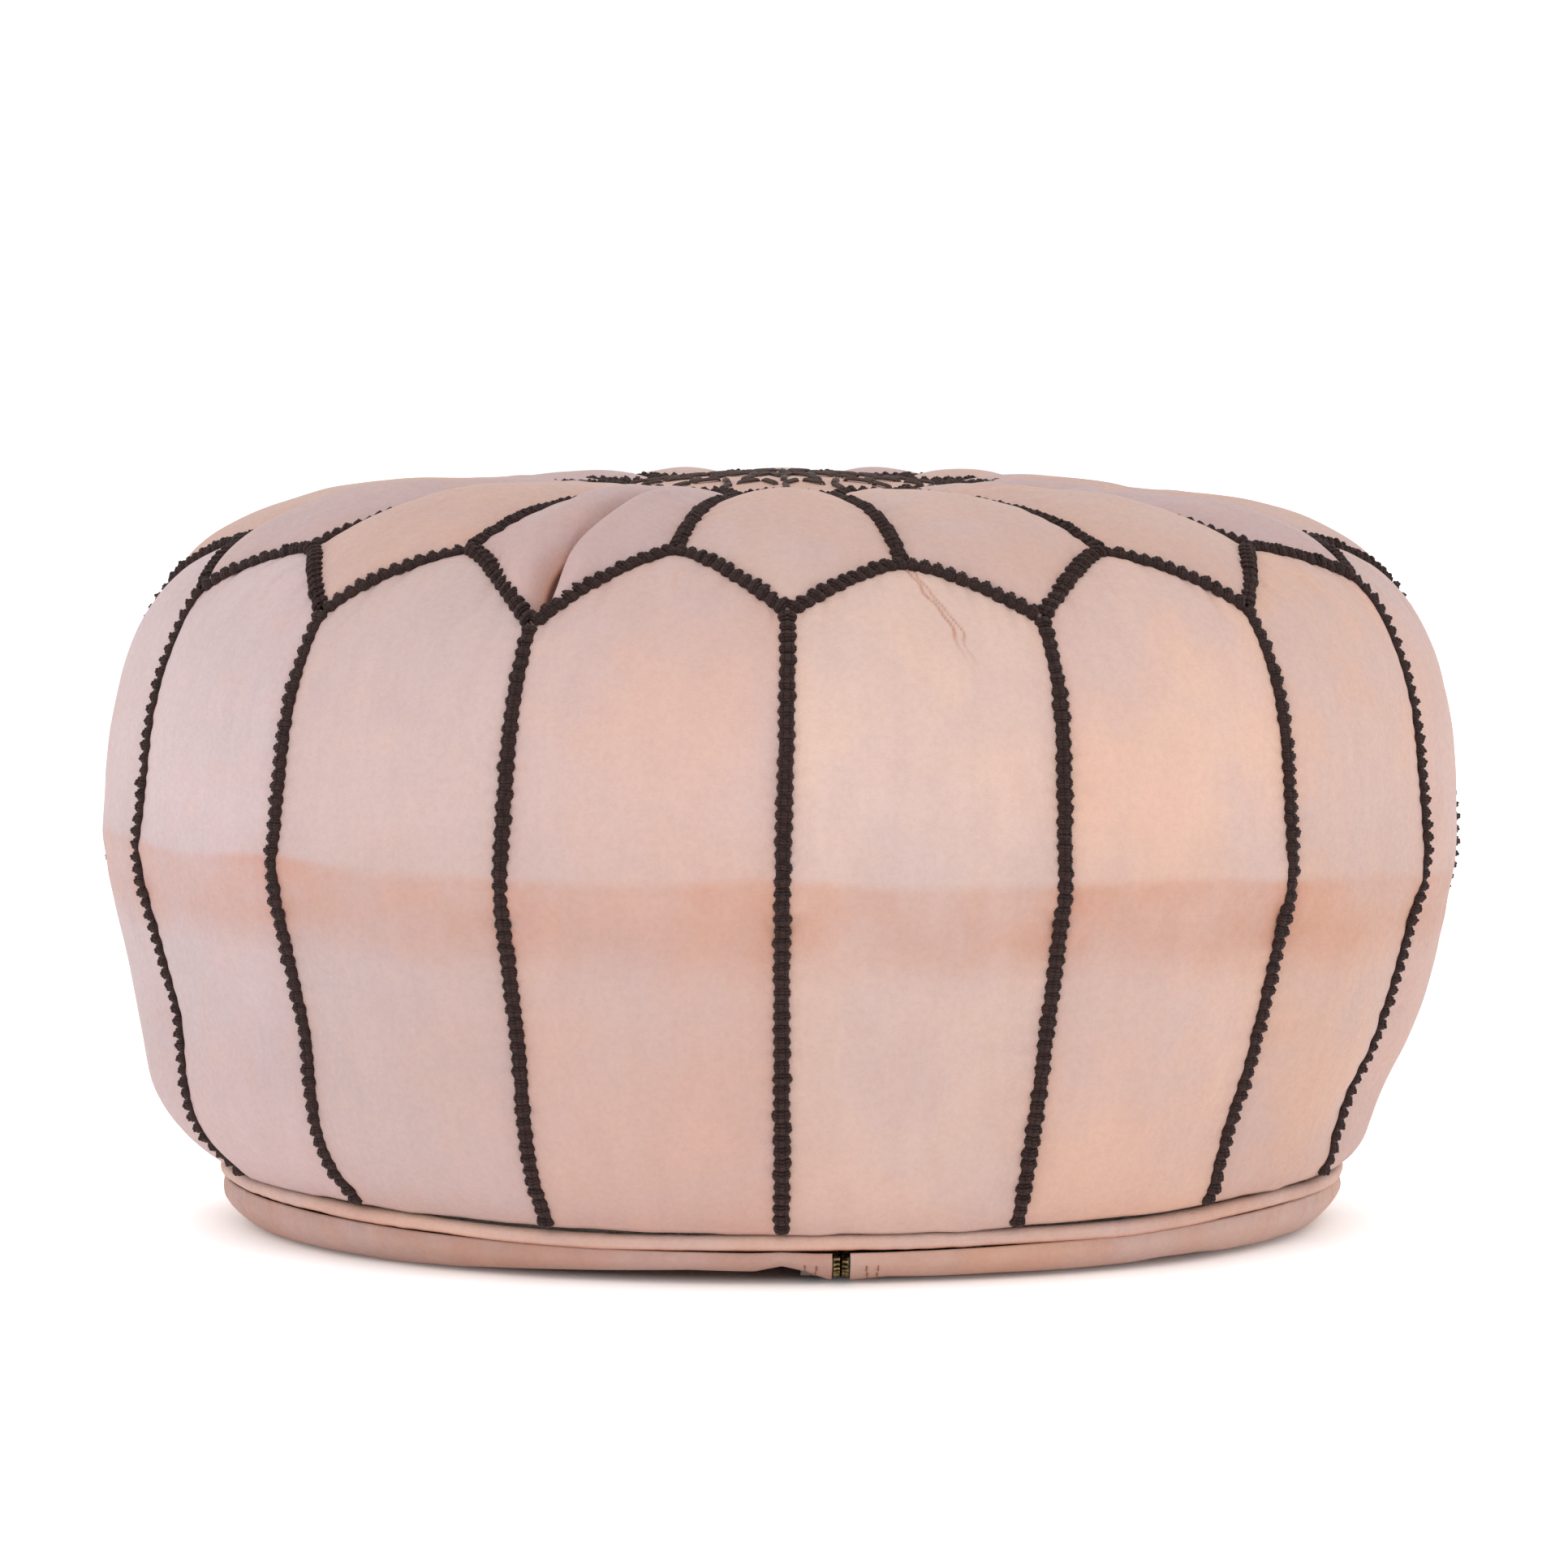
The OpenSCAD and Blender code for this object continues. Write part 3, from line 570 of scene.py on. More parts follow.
def settle(grids):
    """Cloth simulation of all the panels at once, held at their seams and pressed from inside.

    grids holds the points and normals of each panel. Returns how far each point moves outwards.
    """
    points = np.concatenate([grid.reshape(-1, 3) for grid, _ in grids]) * CLOTH_SCALE
    quads, held, start = [], [], 0
    for grid, _ in grids:
        rows, cols = grid.shape[:2]
        at = np.arange(rows * cols).reshape(rows, cols) + start
        quads.append(faces(at))
        held.append(np.concatenate([at[0], at[-1], at[:, 0], at[:, -1]]))
        start += rows * cols
    obj = add_mesh("settling_leather", points, np.concatenate(quads), new_material("settling", 0.5)[0])
    obj.vertex_groups.new(name="seams").add([int(i) for i in np.concatenate(held)], 1.0, "REPLACE")
    cloth = obj.modifiers.new("cloth", "CLOTH")
    set_all(cloth.settings, quality=4, mass=0.3, air_damping=2, shrink_min=-SLACK)
    set_all(cloth.settings, tension_stiffness=30, compression_stiffness=30, shear_stiffness=10)
    set_all(cloth.settings, bending_stiffness=0.7, use_pressure=True, uniform_pressure_force=4)
    cloth.settings.vertex_group_mass = "seams"
    cloth.settings.effector_weights.gravity = 0
    cloth.collision_settings.use_collision = False
    set_all(cloth.point_cache, frame_start=1, frame_end=CLOTH_FRAMES)
    for number in range(1, CLOTH_FRAMES + 1):
        bpy.context.scene.frame_set(number)
    settled = np.empty(points.size, np.float32)
    evaluated = obj.evaluated_get(bpy.context.evaluated_depsgraph_get())
    evaluated.data.vertices.foreach_get("co", settled)
    bpy.context.scene.frame_set(1)
    moved = (settled.reshape(-1, 3) - points) / CLOTH_SCALE
    bpy.data.meshes.remove(obj.data)
    outward_moves, start = [], 0
    for grid, normals in grids:
        count = grid.shape[0] * grid.shape[1]
        out = (moved[start:start + count].reshape(grid.shape) * normals).sum(-1)
        outward_moves.append(np.clip(out, -LARGEST_MOVE, LARGEST_MOVE))
        start += count
    return outward_moves


def settled_panels():
    """How far each side panel and petal moves as it settles, by kind and number."""
    keys = [(side, number) for side in (True, False) for number in range(1, PANELS + 1)]
    grids = []
    for side, number in keys:
        size = SIDE_CLOTH if side else PETAL_CLOTH
        t, across, angle, place, lift = panel_grid(side, panel_middle(side, number), size)
        flat = on_body(angle, place, 0)
        rough = 0.5 * MM * noise(flat, 0.014, 900) * (1 - across**2) * (1 - (2 * t - 1) ** 4)
        grids.append((on_body(angle, place, lift + rough), normal_at(angle, place)))
    return dict(zip(keys, settle(grids)))


def enlarge(grid, rows, cols):
    """A smooth curve through a grid's values, read at more rows and columns."""
    for count in (rows, cols):
        where = np.linspace(0, len(grid) - 1, count)
        first = np.clip(np.floor(where).astype(int), 0, len(grid) - 2)
        x = (where - first)[:, None]
        p = [grid[np.clip(first + k, 0, len(grid) - 1)] for k in (-1, 0, 1, 2)]
        bend = x * (3 * (p[1] - p[2]) + p[3] - p[0])
        grid = p[1] + 0.5 * x * (p[2] - p[0] + x * (2 * p[0] - 5 * p[1] + 4 * p[2] - p[3] + bend))
        grid = grid.T
    return grid


# ---- leather panels ----

# Points up and across each visible panel
SIDE_FACE = (180, 65)
PETAL_FACE = (84, 65)
FINE_FACE = (240, 161)
# The petal with one deep fold, left of the middle of the front
FOLDED_PETAL = 16
# The side panel with a long wrinkle down from its arch, right of the middle of the front
WRINKLED_PANEL = 1


def panel_middle(side, number):
    return (number - (0.5 if side else 1)) * STEP


def settled_grid(side, index, size, settled):
    """A settled panel's grid and even surface, and each point's distances over the surface.

    The distances are up the panel, across it from its middle, and in from the nearest side seam.
    """
    t, across, angle, place, lift = panel_grid(side, panel_middle(side, index), size)
    flat = on_body(angle, place, 0)
    steps = np.linalg.norm(np.diff(flat, axis=0), axis=-1)
    along = np.concatenate([np.zeros((1, steps.shape[1])), np.cumsum(steps, axis=0)])
    half_width = profile(place)[0] * math.radians(STEP / 2)
    grid = (angle, place, lift + enlarge(settled, *size), flat)
    return t, across, grid, along, across * half_width, (1 - np.abs(across)) * half_width


def side_panel(index, settled):
    size = FINE_FACE if index == WRINKLED_PANEL else SIDE_FACE
    t, across, grid, along, sideways, away = settled_grid(True, index, size, settled)
    angle, place, lift, flat = grid
    from_top = along[-1] - along
    side_of = np.where(across < 0, 0, 1) + 2 * index
    inside = (1 - across**6) * (1 - t**8)

    lift += inside * (0.9 * MM * noise(flat, 0.075, index) + 0.4 * MM * noise(flat, 0.03, index + 20))
    lift += 0.1 * MM * noise(flat, 0.010, index + 40) * inside
    lift += 0.22 * MM * pucker(along + side_of, away, 6 * MM, 7 * MM, 61)

    # The fold round the middle, where the side bends, with short puckers by the braids
    fold_at = -3.5 - 2.0 * np.sin(np.radians(angle)) + 0.8 * noise(flat, 0.05, 5)
    off_fold = place - fold_at
    near_seam = np.exp(-away / (14 * MM))
    lift += 0.7 * MM * bump(off_fold, 2.0, 2.2) * (0.6 + 0.4 * near_seam)
    lift -= 0.5 * MM * bump(off_fold, -1.6, 1.6) * (0.4 + 0.6 * near_seam)
    short = pucker(along + side_of, away, 3.2 * MM, 9 * MM, 71)
    lift += 0.42 * MM * short * bump(off_fold, -1, 5)

    # Gathers above the base seam, and faint ones under the arch
    lift += 0.5 * MM * pucker(sideways + index, along, 11 * MM, 11 * MM, 81 + index) * (1 - across**8)
    lift += 0.25 * MM * pucker(sideways + index, from_top, 8 * MM, 14 * MM, 101 + index) * (1 - across**4)

    edge = smooth((off_fold + 10) / 7) * (1 - smooth((off_fold - 2.2) / 1.6))
    stain = edge * (0.55 + 0.5 * np.exp(-away / (18 * MM)) + 0.25 * noise(flat, 0.03, 9))
    # Along the base seam and beside the side seams: partly tan stain, partly painted shade where the leather
    # dips into the seams
    stain += 0.25 * np.exp(-along / (20 * MM)) + 0.3 * np.exp(-away / (4 * MM))
    stain += 0.12 * noise(flat, 0.05, 11) + 0.10 * noise(flat, 0.12, 12)
    # Painted shade: the panel is drawn tanner below its fold, towards the base seam
    stain += 0.10 * smooth((-6 - place) / 22)
    # Painted shade: the wrinkles' dents are also drawn dark brown down their creases
    line = crease_lines(sideways, from_top, index)
    lift -= 0.9 * MM * line
    stain += 1.15 * line
    panel_piece(True, index, (angle, place, lift, flat), along, sideways, stain)


def crease_lines(sideways, from_top, index):
    """Thin wrinkles that run down from the arch, for their dents and their painted shade: a long forked one,
    and a faint one elsewhere.
    """
    down = from_top / MM
    if index == WRINKLED_PANEL:
        middle = -1 + 0.36 * down + 0.9 * np.sin(down / 4) + 0.5 * np.sin(down / 1.7)
        left = bump(sideways / MM, middle, 0.65)
        right = bump(sideways / MM, middle + 1.6 + 0.05 * down + 0.5 * np.sin(down / 2.3), 0.5)
        ends = smooth((down - 0.5) / 2) * (1 - smooth((down - 34) / 18))
        return np.maximum(left, 0.8 * right) * ends
    middle = 9 * math.sin(index * 2.4) + 0.12 * down * math.cos(index * 1.7) + 0.8 * np.sin(down / 4)
    ends = smooth((down - 6) / 5) * (1 - smooth((down - 22) / 14))
    return 0.35 * bump(sideways / MM, middle, 0.8) * ends


def petal(index, settled):
    size = FINE_FACE if index == FOLDED_PETAL else PETAL_FACE
    t, across, grid, along, sideways, away = settled_grid(False, index, size, settled)
    angle, place, lift, flat = grid
    side_of = np.where(across < 0, 0, 1) + 2 * index
    inside = (1 - across**6) * (1 - np.maximum(t, 1 - t) ** 10)

    lift += inside * (1.0 * MM * noise(flat, 0.06, index + 200) + 0.45 * MM * noise(flat, 0.025, index + 220))
    lift += 0.1 * MM * noise(flat, 0.01, index + 240) * inside
    lift += 0.3 * MM * pucker(along + side_of, away, 7 * MM, 8 * MM, 161)
    lift += 0.4 * MM * pucker(sideways + index, along, 7 * MM, 9 * MM, 171 + index) * (1 - across**4)

    # Beside the seams: partly tan stain, partly painted shade where the leather dips into the seams; the rest
    # is tan mottling
    stain = 0.3 * np.exp(-away / (5 * MM)) + 0.24 * (noise(flat, 0.045, 13) + 0.5)
    if index == FOLDED_PETAL:
        # Painted shadow: the fold is drawn dark along its slit and in its hollow
        depth, painted_fold_shadow = fold_in_petal(across, t)
        lift -= depth
        stain += painted_fold_shadow
    panel_piece(False, index, (angle, place, lift, flat), along, sideways, stain)


def fold_in_petal(across, t):
    """Depth of the one deep fold, from the valley up and towards the middle, and the painted shadow drawn
    along its slit and in its hollow.
    """
    off = across - (0.03 + 0.24 * smooth(t / 0.6) + 0.02 * np.sin(t * 24))
    ends = smooth((t + 0.06) / 0.14) * (1 - smooth((t - 0.42) / 0.34))
    hollow = np.where(off > 0, bump(off, 0, 0.05), bump(off, 0, 0.18))
    ridge = bump(off, -0.40, 0.20) + 0.9 * bump(off, 0.20, 0.12)
    slit = np.where(off > 0, bump(off, 0, 0.032), bump(off, 0, 0.075))
    # Painted shadow: the slit is the dark line drawn down the fold, brown at its darkest
    painted_fold_shadow = 1.9 * slit * ends * (1 - smooth((t - 0.40) / 0.30))
    return MM * ends * (9.5 * hollow - 2.8 * ridge), painted_fold_shadow + 0.5 * ends * hollow


def panel_piece(side, number, grid, along, sideways, stain):
    angle, place, lift, flat = grid
    outer, inner = on_body(angle, place, lift), on_body(angle, place, lift - LEATHER)
    name = f"side_panel_{number:02d}" if side else f"top_petal_{number:02d}"
    slot = "side_leather" if side else "top_leather"
    tint = (SIDE_TINTS if side else PETAL_TINTS)[number - 1]
    made = leather(name + "_leather", tint, number * 1.7 + (0 if side else 40))
    obj = leather_piece(name, slot, outer, inner, [sideways, along, 0 * along], stain, made)


def leather_piece(name, slot, outer, inner, cut, stain, made):
    """A leather panel from its outer and inner grids, and its points' places on the flat leather."""
    points, quads = shell(outer, inner)
    cut = np.tile(np.stack(cut, -1).reshape(-1, 3), (2, 1))
    stain = np.tile(np.clip(stain, 0, 2).ravel(), 2)
    piece = name + "_leather_piece"
    return add_piece(piece, name, slot, points, quads, made, cut_place=cut, stain=stain)


settled = settled_panels()
for number in range(1, PANELS + 1):
    side_panel(number, settled[True, number])
    petal(number, settled[False, number])


def medallion():
    rings, spokes = 40, PANELS * 24
    t = np.linspace(0, 1, rings)[:, None]
    across = 2 * (np.arange(spokes) % 24) / 24 - 1
    place = (ring_place(across) + EDGE) * (1 - t) + (CENTRE - 0.15) * t
    angle = np.broadcast_to((np.arange(spokes) / 24 - 0.5) * STEP, place.shape)
    flat = on_body(angle, place, 0)
    lift = -dip(place) + 0.35 * MM * noise(flat, 0.02, 301) * (1 - t) * smooth(t * 6)
    lift += 0.3 * MM * noise(flat, 0.008, 302) * smooth(t * 5)
    outer, inner = on_body(angle, place, lift), on_body(angle, place, lift - LEATHER)
    n = rings * spokes
    at = np.arange(n).reshape(rings, spokes)
    ahead = np.roll(at, -1, axis=1)
    face = faces(at, closed=True)
    outer_rim = np.stack([ahead[0], at[0], n + at[0], n + ahead[0]], -1)
    inner_rim = np.stack([at[-1], ahead[-1], n + ahead[-1], n + at[-1]], -1)
    points = np.concatenate([outer.reshape(-1, 3), inner.reshape(-1, 3)])
    quads = np.concatenate([face, n + face[:, ::-1], outer_rim, inner_rim])
    made = leather("medallion_leather", PETAL_PEACH, 77)
    values = {"cut_place": points, "stain": np.tile(0.25 + 0.25 * noise(flat, 0.03, 303).ravel(), 2)}
    piece = "medallion_leather_piece"
    obj = add_piece(piece, "centre_medallion", "top_leather", points, quads, made, **values)
    across = 2 * float(np.hypot(flat[..., 0], flat[..., 1]).max())


medallion()


# ---- braids ----

KNOT_PITCH = 4.8 * MM
KNOT_ROWS = 4
THREAD_R = 0.66 * MM
KNOT_POINTS = 17


def seam_line(angles, places):
    """Knots' middles, directions and normals along a seam, their pitch, and the seam's own line."""
    fine = np.linspace(0, 1, 400)
    angle = np.interp(fine, np.linspace(0, 1, len(angles)), angles)
    place = np.interp(fine, np.linspace(0, 1, len(places)), places)
    line = on_body(angle, place, -dip(place))
    normal = normal_at(angle, place)
    direction = np.gradient(line, axis=0)
    run = np.concatenate([[0], np.cumsum(np.linalg.norm(np.diff(line, axis=0), axis=-1))])
    count = max(2, round(run[-1] / KNOT_PITCH))
    middle = (np.arange(count) + 0.5) / count * run[-1]

    def pick(values):
        return np.stack([np.interp(middle, run, values[:, k]) for k in range(3)], -1)

    return pick(line), unit(pick(direction)), unit(pick(normal)), run[-1] / count, line, normal


def braid(name, node_name, angles, places, seed, slant=0.0, lop=0.0):
    """Knots in a row along a seam. Each has four threads that hump over three columns.

    slant leans the threads along the seam. lop makes the knots bulge on the left of the seam.
    """
    rng = np.random.default_rng(seed)
    spot, along, normal, pitch, line, line_normal = seam_line(angles, places)
    knots = len(spot)
    side = unit(np.cross(along, normal))
    b = np.linspace(-1, 1, KNOT_POINTS)
    row = np.linspace(-1, 1, KNOT_ROWS)[:, None]
    half = (BRAID_W / 2 + 0.3 * MM - THREAD_R) * (1 - 0.16 * row**2)
    shape = (1 - np.abs(b) ** 3) ** 0.5
    groove = bump(np.abs(b), 0.36, 0.12)
    height = 0.2 * MM + (BRAID_H - THREAD_R - 0.2 * MM) * shape * (1 - 0.36 * groove) * (1 - 0.30 * row**2)
    height = height + 0.35 * MM * bump(b, 0, 0.26) * (1 - 0.5 * row**2)
    ahead = row * 0.285 * pitch * (1 - 0.04 * b**2) + slant * pitch * b

    def jitter(size, *shape):
        return size * rng.standard_normal((knots, *shape))

    grow = 1 + jitter(0.06, 1, 1)
    sideways = b * half * grow * (1 + jitter(0.025, KNOT_ROWS, 1))
    sideways = sideways + lop * (b < 0) * b * 0.7 * MM * (1 - 0.8 * row**2) + jitter(0.16 * MM, 1, 1)
    high = height * grow * (1 + jitter(0.06, KNOT_ROWS, 1))
    forward = ahead + jitter(0.06, 1, 1) * sideways + jitter(0.08 * MM, KNOT_ROWS, 1)
    turned = np.where(rng.random((knots, 1, 1)) < 0.5, 1, -1)
    forward = forward + 0.04 * pitch * turned * np.abs(b)
    paths = (
        spot[:, None, None]
        + side[:, None, None] * sideways[..., None]
        + normal[:, None, None] * high[..., None]
        + along[:, None, None] * forward[..., None]
    ).reshape(knots * KNOT_ROWS, KNOT_POINTS, 3)
    radius = THREAD_R * (1 + jitter(0.05, KNOT_ROWS)).reshape(-1, 1) * np.ones(KNOT_POINTS)
    points, quads, thread = tubes(paths, radius, np.repeat(along, KNOT_ROWS, axis=0)[:, None])

    # A core under the knots, so that no leather shows between them
    core = line[::4] + 0.9 * MM * line_normal[::4]
    core_side = unit(np.cross(np.gradient(core, axis=0), line_normal[::4]))
    turn = np.arange(8) * math.pi / 4
    ring = np.cos(turn)[:, None] * core_side[:, None] * 0.40 * BRAID_W
    ring = ring + np.sin(turn)[:, None] * line_normal[::4][:, None] * 0.9 * MM
    core_points = (core[:, None] + ring).reshape(-1, 3)
    core_quads = faces(np.arange(len(core) * 8).reshape(-1, 8) + len(points), True, True)
    thread = np.concatenate([thread, core_points])
    points, quads = np.concatenate([points, core_points]), np.concatenate([quads, core_quads])
    add_piece(name, node_name, "braid_thread", points, quads, braid_thread, thread_place=thread)


def braids():
    arc = np.linspace(-0.985, 0.985, 60)
    for k in range(PANELS):
        number = f"{k + 1:02d}"
        seam, middle = k * STEP, (k + 0.5) * STEP
        braid("braid_upright_" + number, "side_seam_braids", [seam] * 2, [-39.6, VALLEY - 0.1], 100 + k)
        ends = [ARCH_TOP + 0.4, RING_OUT - 0.3]
        braid("braid_radial_" + number, "top_seam_braids", [middle] * 2, ends, 200 + k)
        angles = middle + arc * STEP / 2
        braid("braid_arch_" + number, "arch_braid", angles, arch_place(arc), 300 + k, 0.16, 1.0)
        angles = seam + arc * STEP / 2
        braid("braid_ring_" + number, "centre_ring_braid", angles, ring_place(arc), 400 + k, 0.10)


braids()


# ---- embroidery ----

# Rings of the rosette: radius, stitches for each petal, length, turn from the radial direction
ROSETTE = [
    (8, 0.5, 9, 0), (16, 0.5, 7, 90), (25, 1, 12, 20), (25, 1, 12, -20),
    (37, 1, 10, 0), (46, 1, 11, 35), (46, 1, 11, -35), (57, 1, 9, 0),
]


TOP_PLACES = np.linspace(60, CENTRE, 200)


def medallion_height(x, y):
    """Height of the medallion's leather above a point of the floor."""
    place = np.interp(-np.hypot(x, y), -profile(TOP_PLACES)[0], TOP_PLACES)
    lift = slump(np.degrees(np.arctan2(x, -y)), place) - dip(place)
    return profile(place)[1] + lift * outward(place)[1]


def embroidery():
    rng = np.random.default_rng(7)
    b = np.linspace(-1, 1, 13)
    paths, sideways_all = [], []
    for radius, density, length, turn in ROSETTE:
        shift = 0.25 if turn > 0 else 0.75 if turn < 0 else 0
        for k in range(int(density * PANELS)):
            angle = (k + shift) * STEP / density + 1.2 * rng.standard_normal()
            lean = turn + 3 * rng.standard_normal()
            heading = math.radians(angle + 180 - lean)
            centre = polar(angle, radius * MM, 0.0)
            forward = np.array([math.sin(heading), -math.cos(heading), 0])
            across = np.array([forward[1], -forward[0], 0])
            for strand in (-1, 0, 1):
                half = length * MM / 2 * (1 + 0.06 * rng.standard_normal() - 0.05 * abs(strand))
                aside = strand * 0.8 * MM + 0.1 * MM * rng.standard_normal()
                line = centre + np.outer(b * half, forward) + across * aside
                rise = (1.25 + 0.3 * (strand == 0)) * MM * (1 - b**6) ** 0.5
                line[:, 2] = medallion_height(line[:, 0], line[:, 1]) - 0.4 * MM + rise
                paths.append(line)
                sideways_all.append(np.tile(across, (13, 1)))
    paths = np.array(paths)
    radius = 0.52 * MM * (1 - 0.3 * b**8) * np.ones((len(paths), 1))
    points, quads, thread = tubes(paths, radius, np.array(sideways_all), 8)
    names = ("medallion_stitches", "medallion_embroidery", "stitch_thread")
    add_piece(*names, points, quads, embroidery_thread, thread_place=thread)


embroidery()


# ---- welt ----

WELT_R = (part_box("base_welt")[1].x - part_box("base_welt")[0].x) / 2 - 4 * MM
WELT_Z = (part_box("base_welt")[1].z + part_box("base_welt")[0].z) / 2 + 0.4 * MM
WELT_TUBE = 3.1 * MM


def torus(rings, sides, radius, tube, wave):
    """A ring of tube-shaped points, and for each its angle round the axis and round the tube."""
    angle = np.arange(rings)[:, None] * 360 / rings
    turn = np.arange(sides)[None] * 2 * math.pi / sides
    where = polar(angle, WELT_R, 0.0)
    drop, swell = wave(where, turn)
    r = radius + tube * swell * np.cos(turn)
    z = WELT_Z - seam_drop(angle) + drop + tube * swell * np.sin(turn)
    points = polar(angle, r, z)
    at = np.arange(rings * sides).reshape(rings, sides)
    return points, faces(np.concatenate([at, at[:1]]), True, True), angle, turn


def welt_wave(where, turn):
    """The welt's waves up and down, and its swellings and small tucks."""
    drop = 1.1 * MM * noise(where, 0.07, 501) + 0.3 * MM * noise(where, 0.025, 502)
    ring = np.broadcast_to(where, where.shape[:1] + (1, 3))
    tucks = noise(ring, 0.0042, 504) * (0.5 + 0.5 * noise(ring, 0.05, 506))
    return drop, 1 + 0.08 * noise(ring, 0.03, 503) + 0.06 * tucks + 0 * turn


def welt():
    points, quads, angle, turn = torus(2400, 28, WELT_R, WELT_TUBE, welt_wave)
    along = np.radians(angle) * WELT_R
    cut = np.stack(np.broadcast_arrays(along, turn * 4 * MM, 0.0), -1).reshape(-1, 3)
    # Painted shade: the welt's underside is drawn tan and brown, darkest right underneath; the noise is its
    # own mottling
    low = np.maximum(-np.sin(turn), 0)
    stain = 0.30 + 0.30 * noise(points, 0.03, 505) + 0.5 * low**2 + 0.9 * bump(low, 1, 0.25)
    values = {"cut_place": cut, "stain": np.clip(stain, 0, 2)}
    made = leather("welt_leather", srgb(226, 190, 174), 91, tan=0.75)
    add_piece("welt_leather_piece", "base_welt", "base_leather", points, quads, made, **values)
    points, quads, angle, turn = torus(2200, 14, WELT_R, 0.5 * WELT_TUBE, cord_wave)
    along = np.radians(angle) * WELT_R
    thread = np.stack(np.broadcast_arrays(along, MM * np.cos(turn), MM * np.sin(turn)), -1)
    names = ("welt_cord_piece", "base_welt_cord", "welt_cord")
    add_piece(*names, points, quads, cord_thread, thread_place=thread.reshape(-1, 3))


def cord_wave(where, turn):
    """Three strands twisted together, lying in the welt."""
    drop, _ = welt_wave(where, turn)
    run = np.arange(len(where))[:, None] * 2 * math.pi * WELT_R / len(where)
    swell = 0.88 + 0.12 * np.abs(np.cos(1.5 * turn + run / (2.4 * MM)))
    return drop, swell


welt()


# ---- base ----

BASE_ROUND_W = 15 * MM
BASE_ROUND_H = 16.9 * MM
BASE_FLAT_R = WELT_R - BASE_ROUND_W
ZIP_X = (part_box("zip_slider")[0].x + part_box("zip_slider")[1].x) / 2
ZIP_LIFT = 0.8 * MM
GROOVE_DEPTH = 5.7 * MM
GROOVE_HALF_W = 40 * MM
GROOVE_END = 185 * MM
GROOVE_FADE = 20 * MM
LIP = 6.5 * MM
LIP_AT_ENDS = 3.4 * MM
CHAIN_UP = 1.9 * MM
RIM_PULL = 0.7 * MM


def hollow_along(y):
    return GROOVE_DEPTH * (1 - smooth((np.abs(y) - GROOVE_END) / GROOVE_FADE))


def lip(y):
    return LIP + (LIP_AT_ENDS - LIP) * smooth((np.abs(y) - GROOVE_END) / GROOVE_FADE)


def hollow(x, y):
    away = (np.abs(x - ZIP_X) - LIP) / (GROOVE_HALF_W - LIP)
    return (hollow_along(y) + ZIP_LIFT) * (1 - smooth(away))


# Height of the base's lower edge off the floor along the front, in mm: places across, and heights
FRONT_EDGE_X = [-170, -90, -34, -10, 0, 8, 17, 24, 40, 80, 160]
FRONT_EDGE_UP = [0.5, 3.0, 5.0, 4.6, 6.4, 4.2, 0.6, 0.0, 1.6, 2.0, 0.5]


def base_folds(x, y, rim):
    """How far the base's leather stands off its plain shape: soft folds, and one at the front."""
    where = np.stack([x, y, 0 * x], -1)
    folds = 1.1 * MM * (1 + noise(where, 0.05, 601)) + 0.5 * MM * (1 + noise(where, 0.018, 602))
    beside_zip = smooth((np.abs(x - ZIP_X) - 12 * MM) / (20 * MM))
    at_front = smooth((-y - 165 * MM) / (32 * MM))
    front = MM * np.interp(x / MM, FRONT_EDGE_X, FRONT_EDGE_UP) * at_front
    return folds * beside_zip * (0.35 + 0.65 * rim) * (1 - at_front) + front


def base_surface(x, y, turn):
    """Height of the base's outer face at x, y, where turn goes from 0 on the flat to 90 at the welt."""
    height = BASE_ROUND_H - seam_drop(np.degrees(np.arctan2(x, -y)))
    up = height * (1 - np.cos(np.radians(turn)))
    rim = smooth((np.hypot(x, y) - 150 * MM) / (55 * MM))
    below = hollow(x, y) + base_folds(x, y, rim)
    return (up**3 + below**3) ** (1 / 3)


def base_push(x, y, turn):
    """How far the rounded edge bulges outwards: swellings, tucks under the welt and wrinkles."""
    where = np.stack(np.broadcast_arrays(x, y, 0.0), -1)
    edge = np.sin(np.radians(turn))
    tuck = 0.9 * MM * noise(where, 0.007, 603) * bump(turn, 74, 16)
    swell = 1.6 * MM * noise(where, 0.045, 604) * np.sin(np.radians(2 * turn))
    full = 2.4 * MM * bump(turn, 66, 24)
    beside = bump(x, 4 * MM, 13 * MM) * (y < 0)
    tall = np.stack(np.broadcast_arrays(x, 0.0 * y, turn * 0.0002), -1)
    wrinkle = 1.3 * MM * noise(tall, 0.0045, 607) * beside * edge * np.abs(np.cos(np.radians(turn)))
    return (tuck + swell + full) * edge + wrinkle


def base_panel(side):
    turns = np.concatenate([np.linspace(90, 0, 26), np.zeros(60)])[:, None]
    t = np.concatenate([np.zeros(26), np.linspace(0, 1, 61)[1:]])[:, None]
    r = BASE_FLAT_R + BASE_ROUND_W * np.sin(np.radians(turns))
    first = np.degrees(np.arcsin((ZIP_X + side * LIP_AT_ENDS) / r))
    j = np.linspace(0, 1, 561)[None]
    j = 0.35 * j + 0.65 * smooth(j)
    last = 180 - first if side > 0 else -180 - first
    angle = first + (last - first) * j
    rim = polar(angle, r, 0.0)
    y = rim[..., 1]
    lip_x = ZIP_X + side * lip(y)
    x = np.where(t > 0, lip_x + (rim[..., 0] - lip_x) * (1 - t) ** 1.5, rim[..., 0])
    z = np.maximum(base_surface(x, y, turns), 0.05 * MM)
    push = base_push(x, y, turns)
    edge = np.sin(np.radians(turns))
    outer = np.stack([x, y, z], -1) + polar(angle, edge, 0 * angle) * push[..., None]
    inner = outer - polar(angle, LEATHER * edge, -LEATHER * np.sqrt(1 - edge**2) + 0 * angle)
    if side > 0:
        outer, inner = outer[:, ::-1], inner[:, ::-1]
    return outer, inner, np.broadcast_to(turns, x.shape)[:, ::-1 if side > 0 else 1]


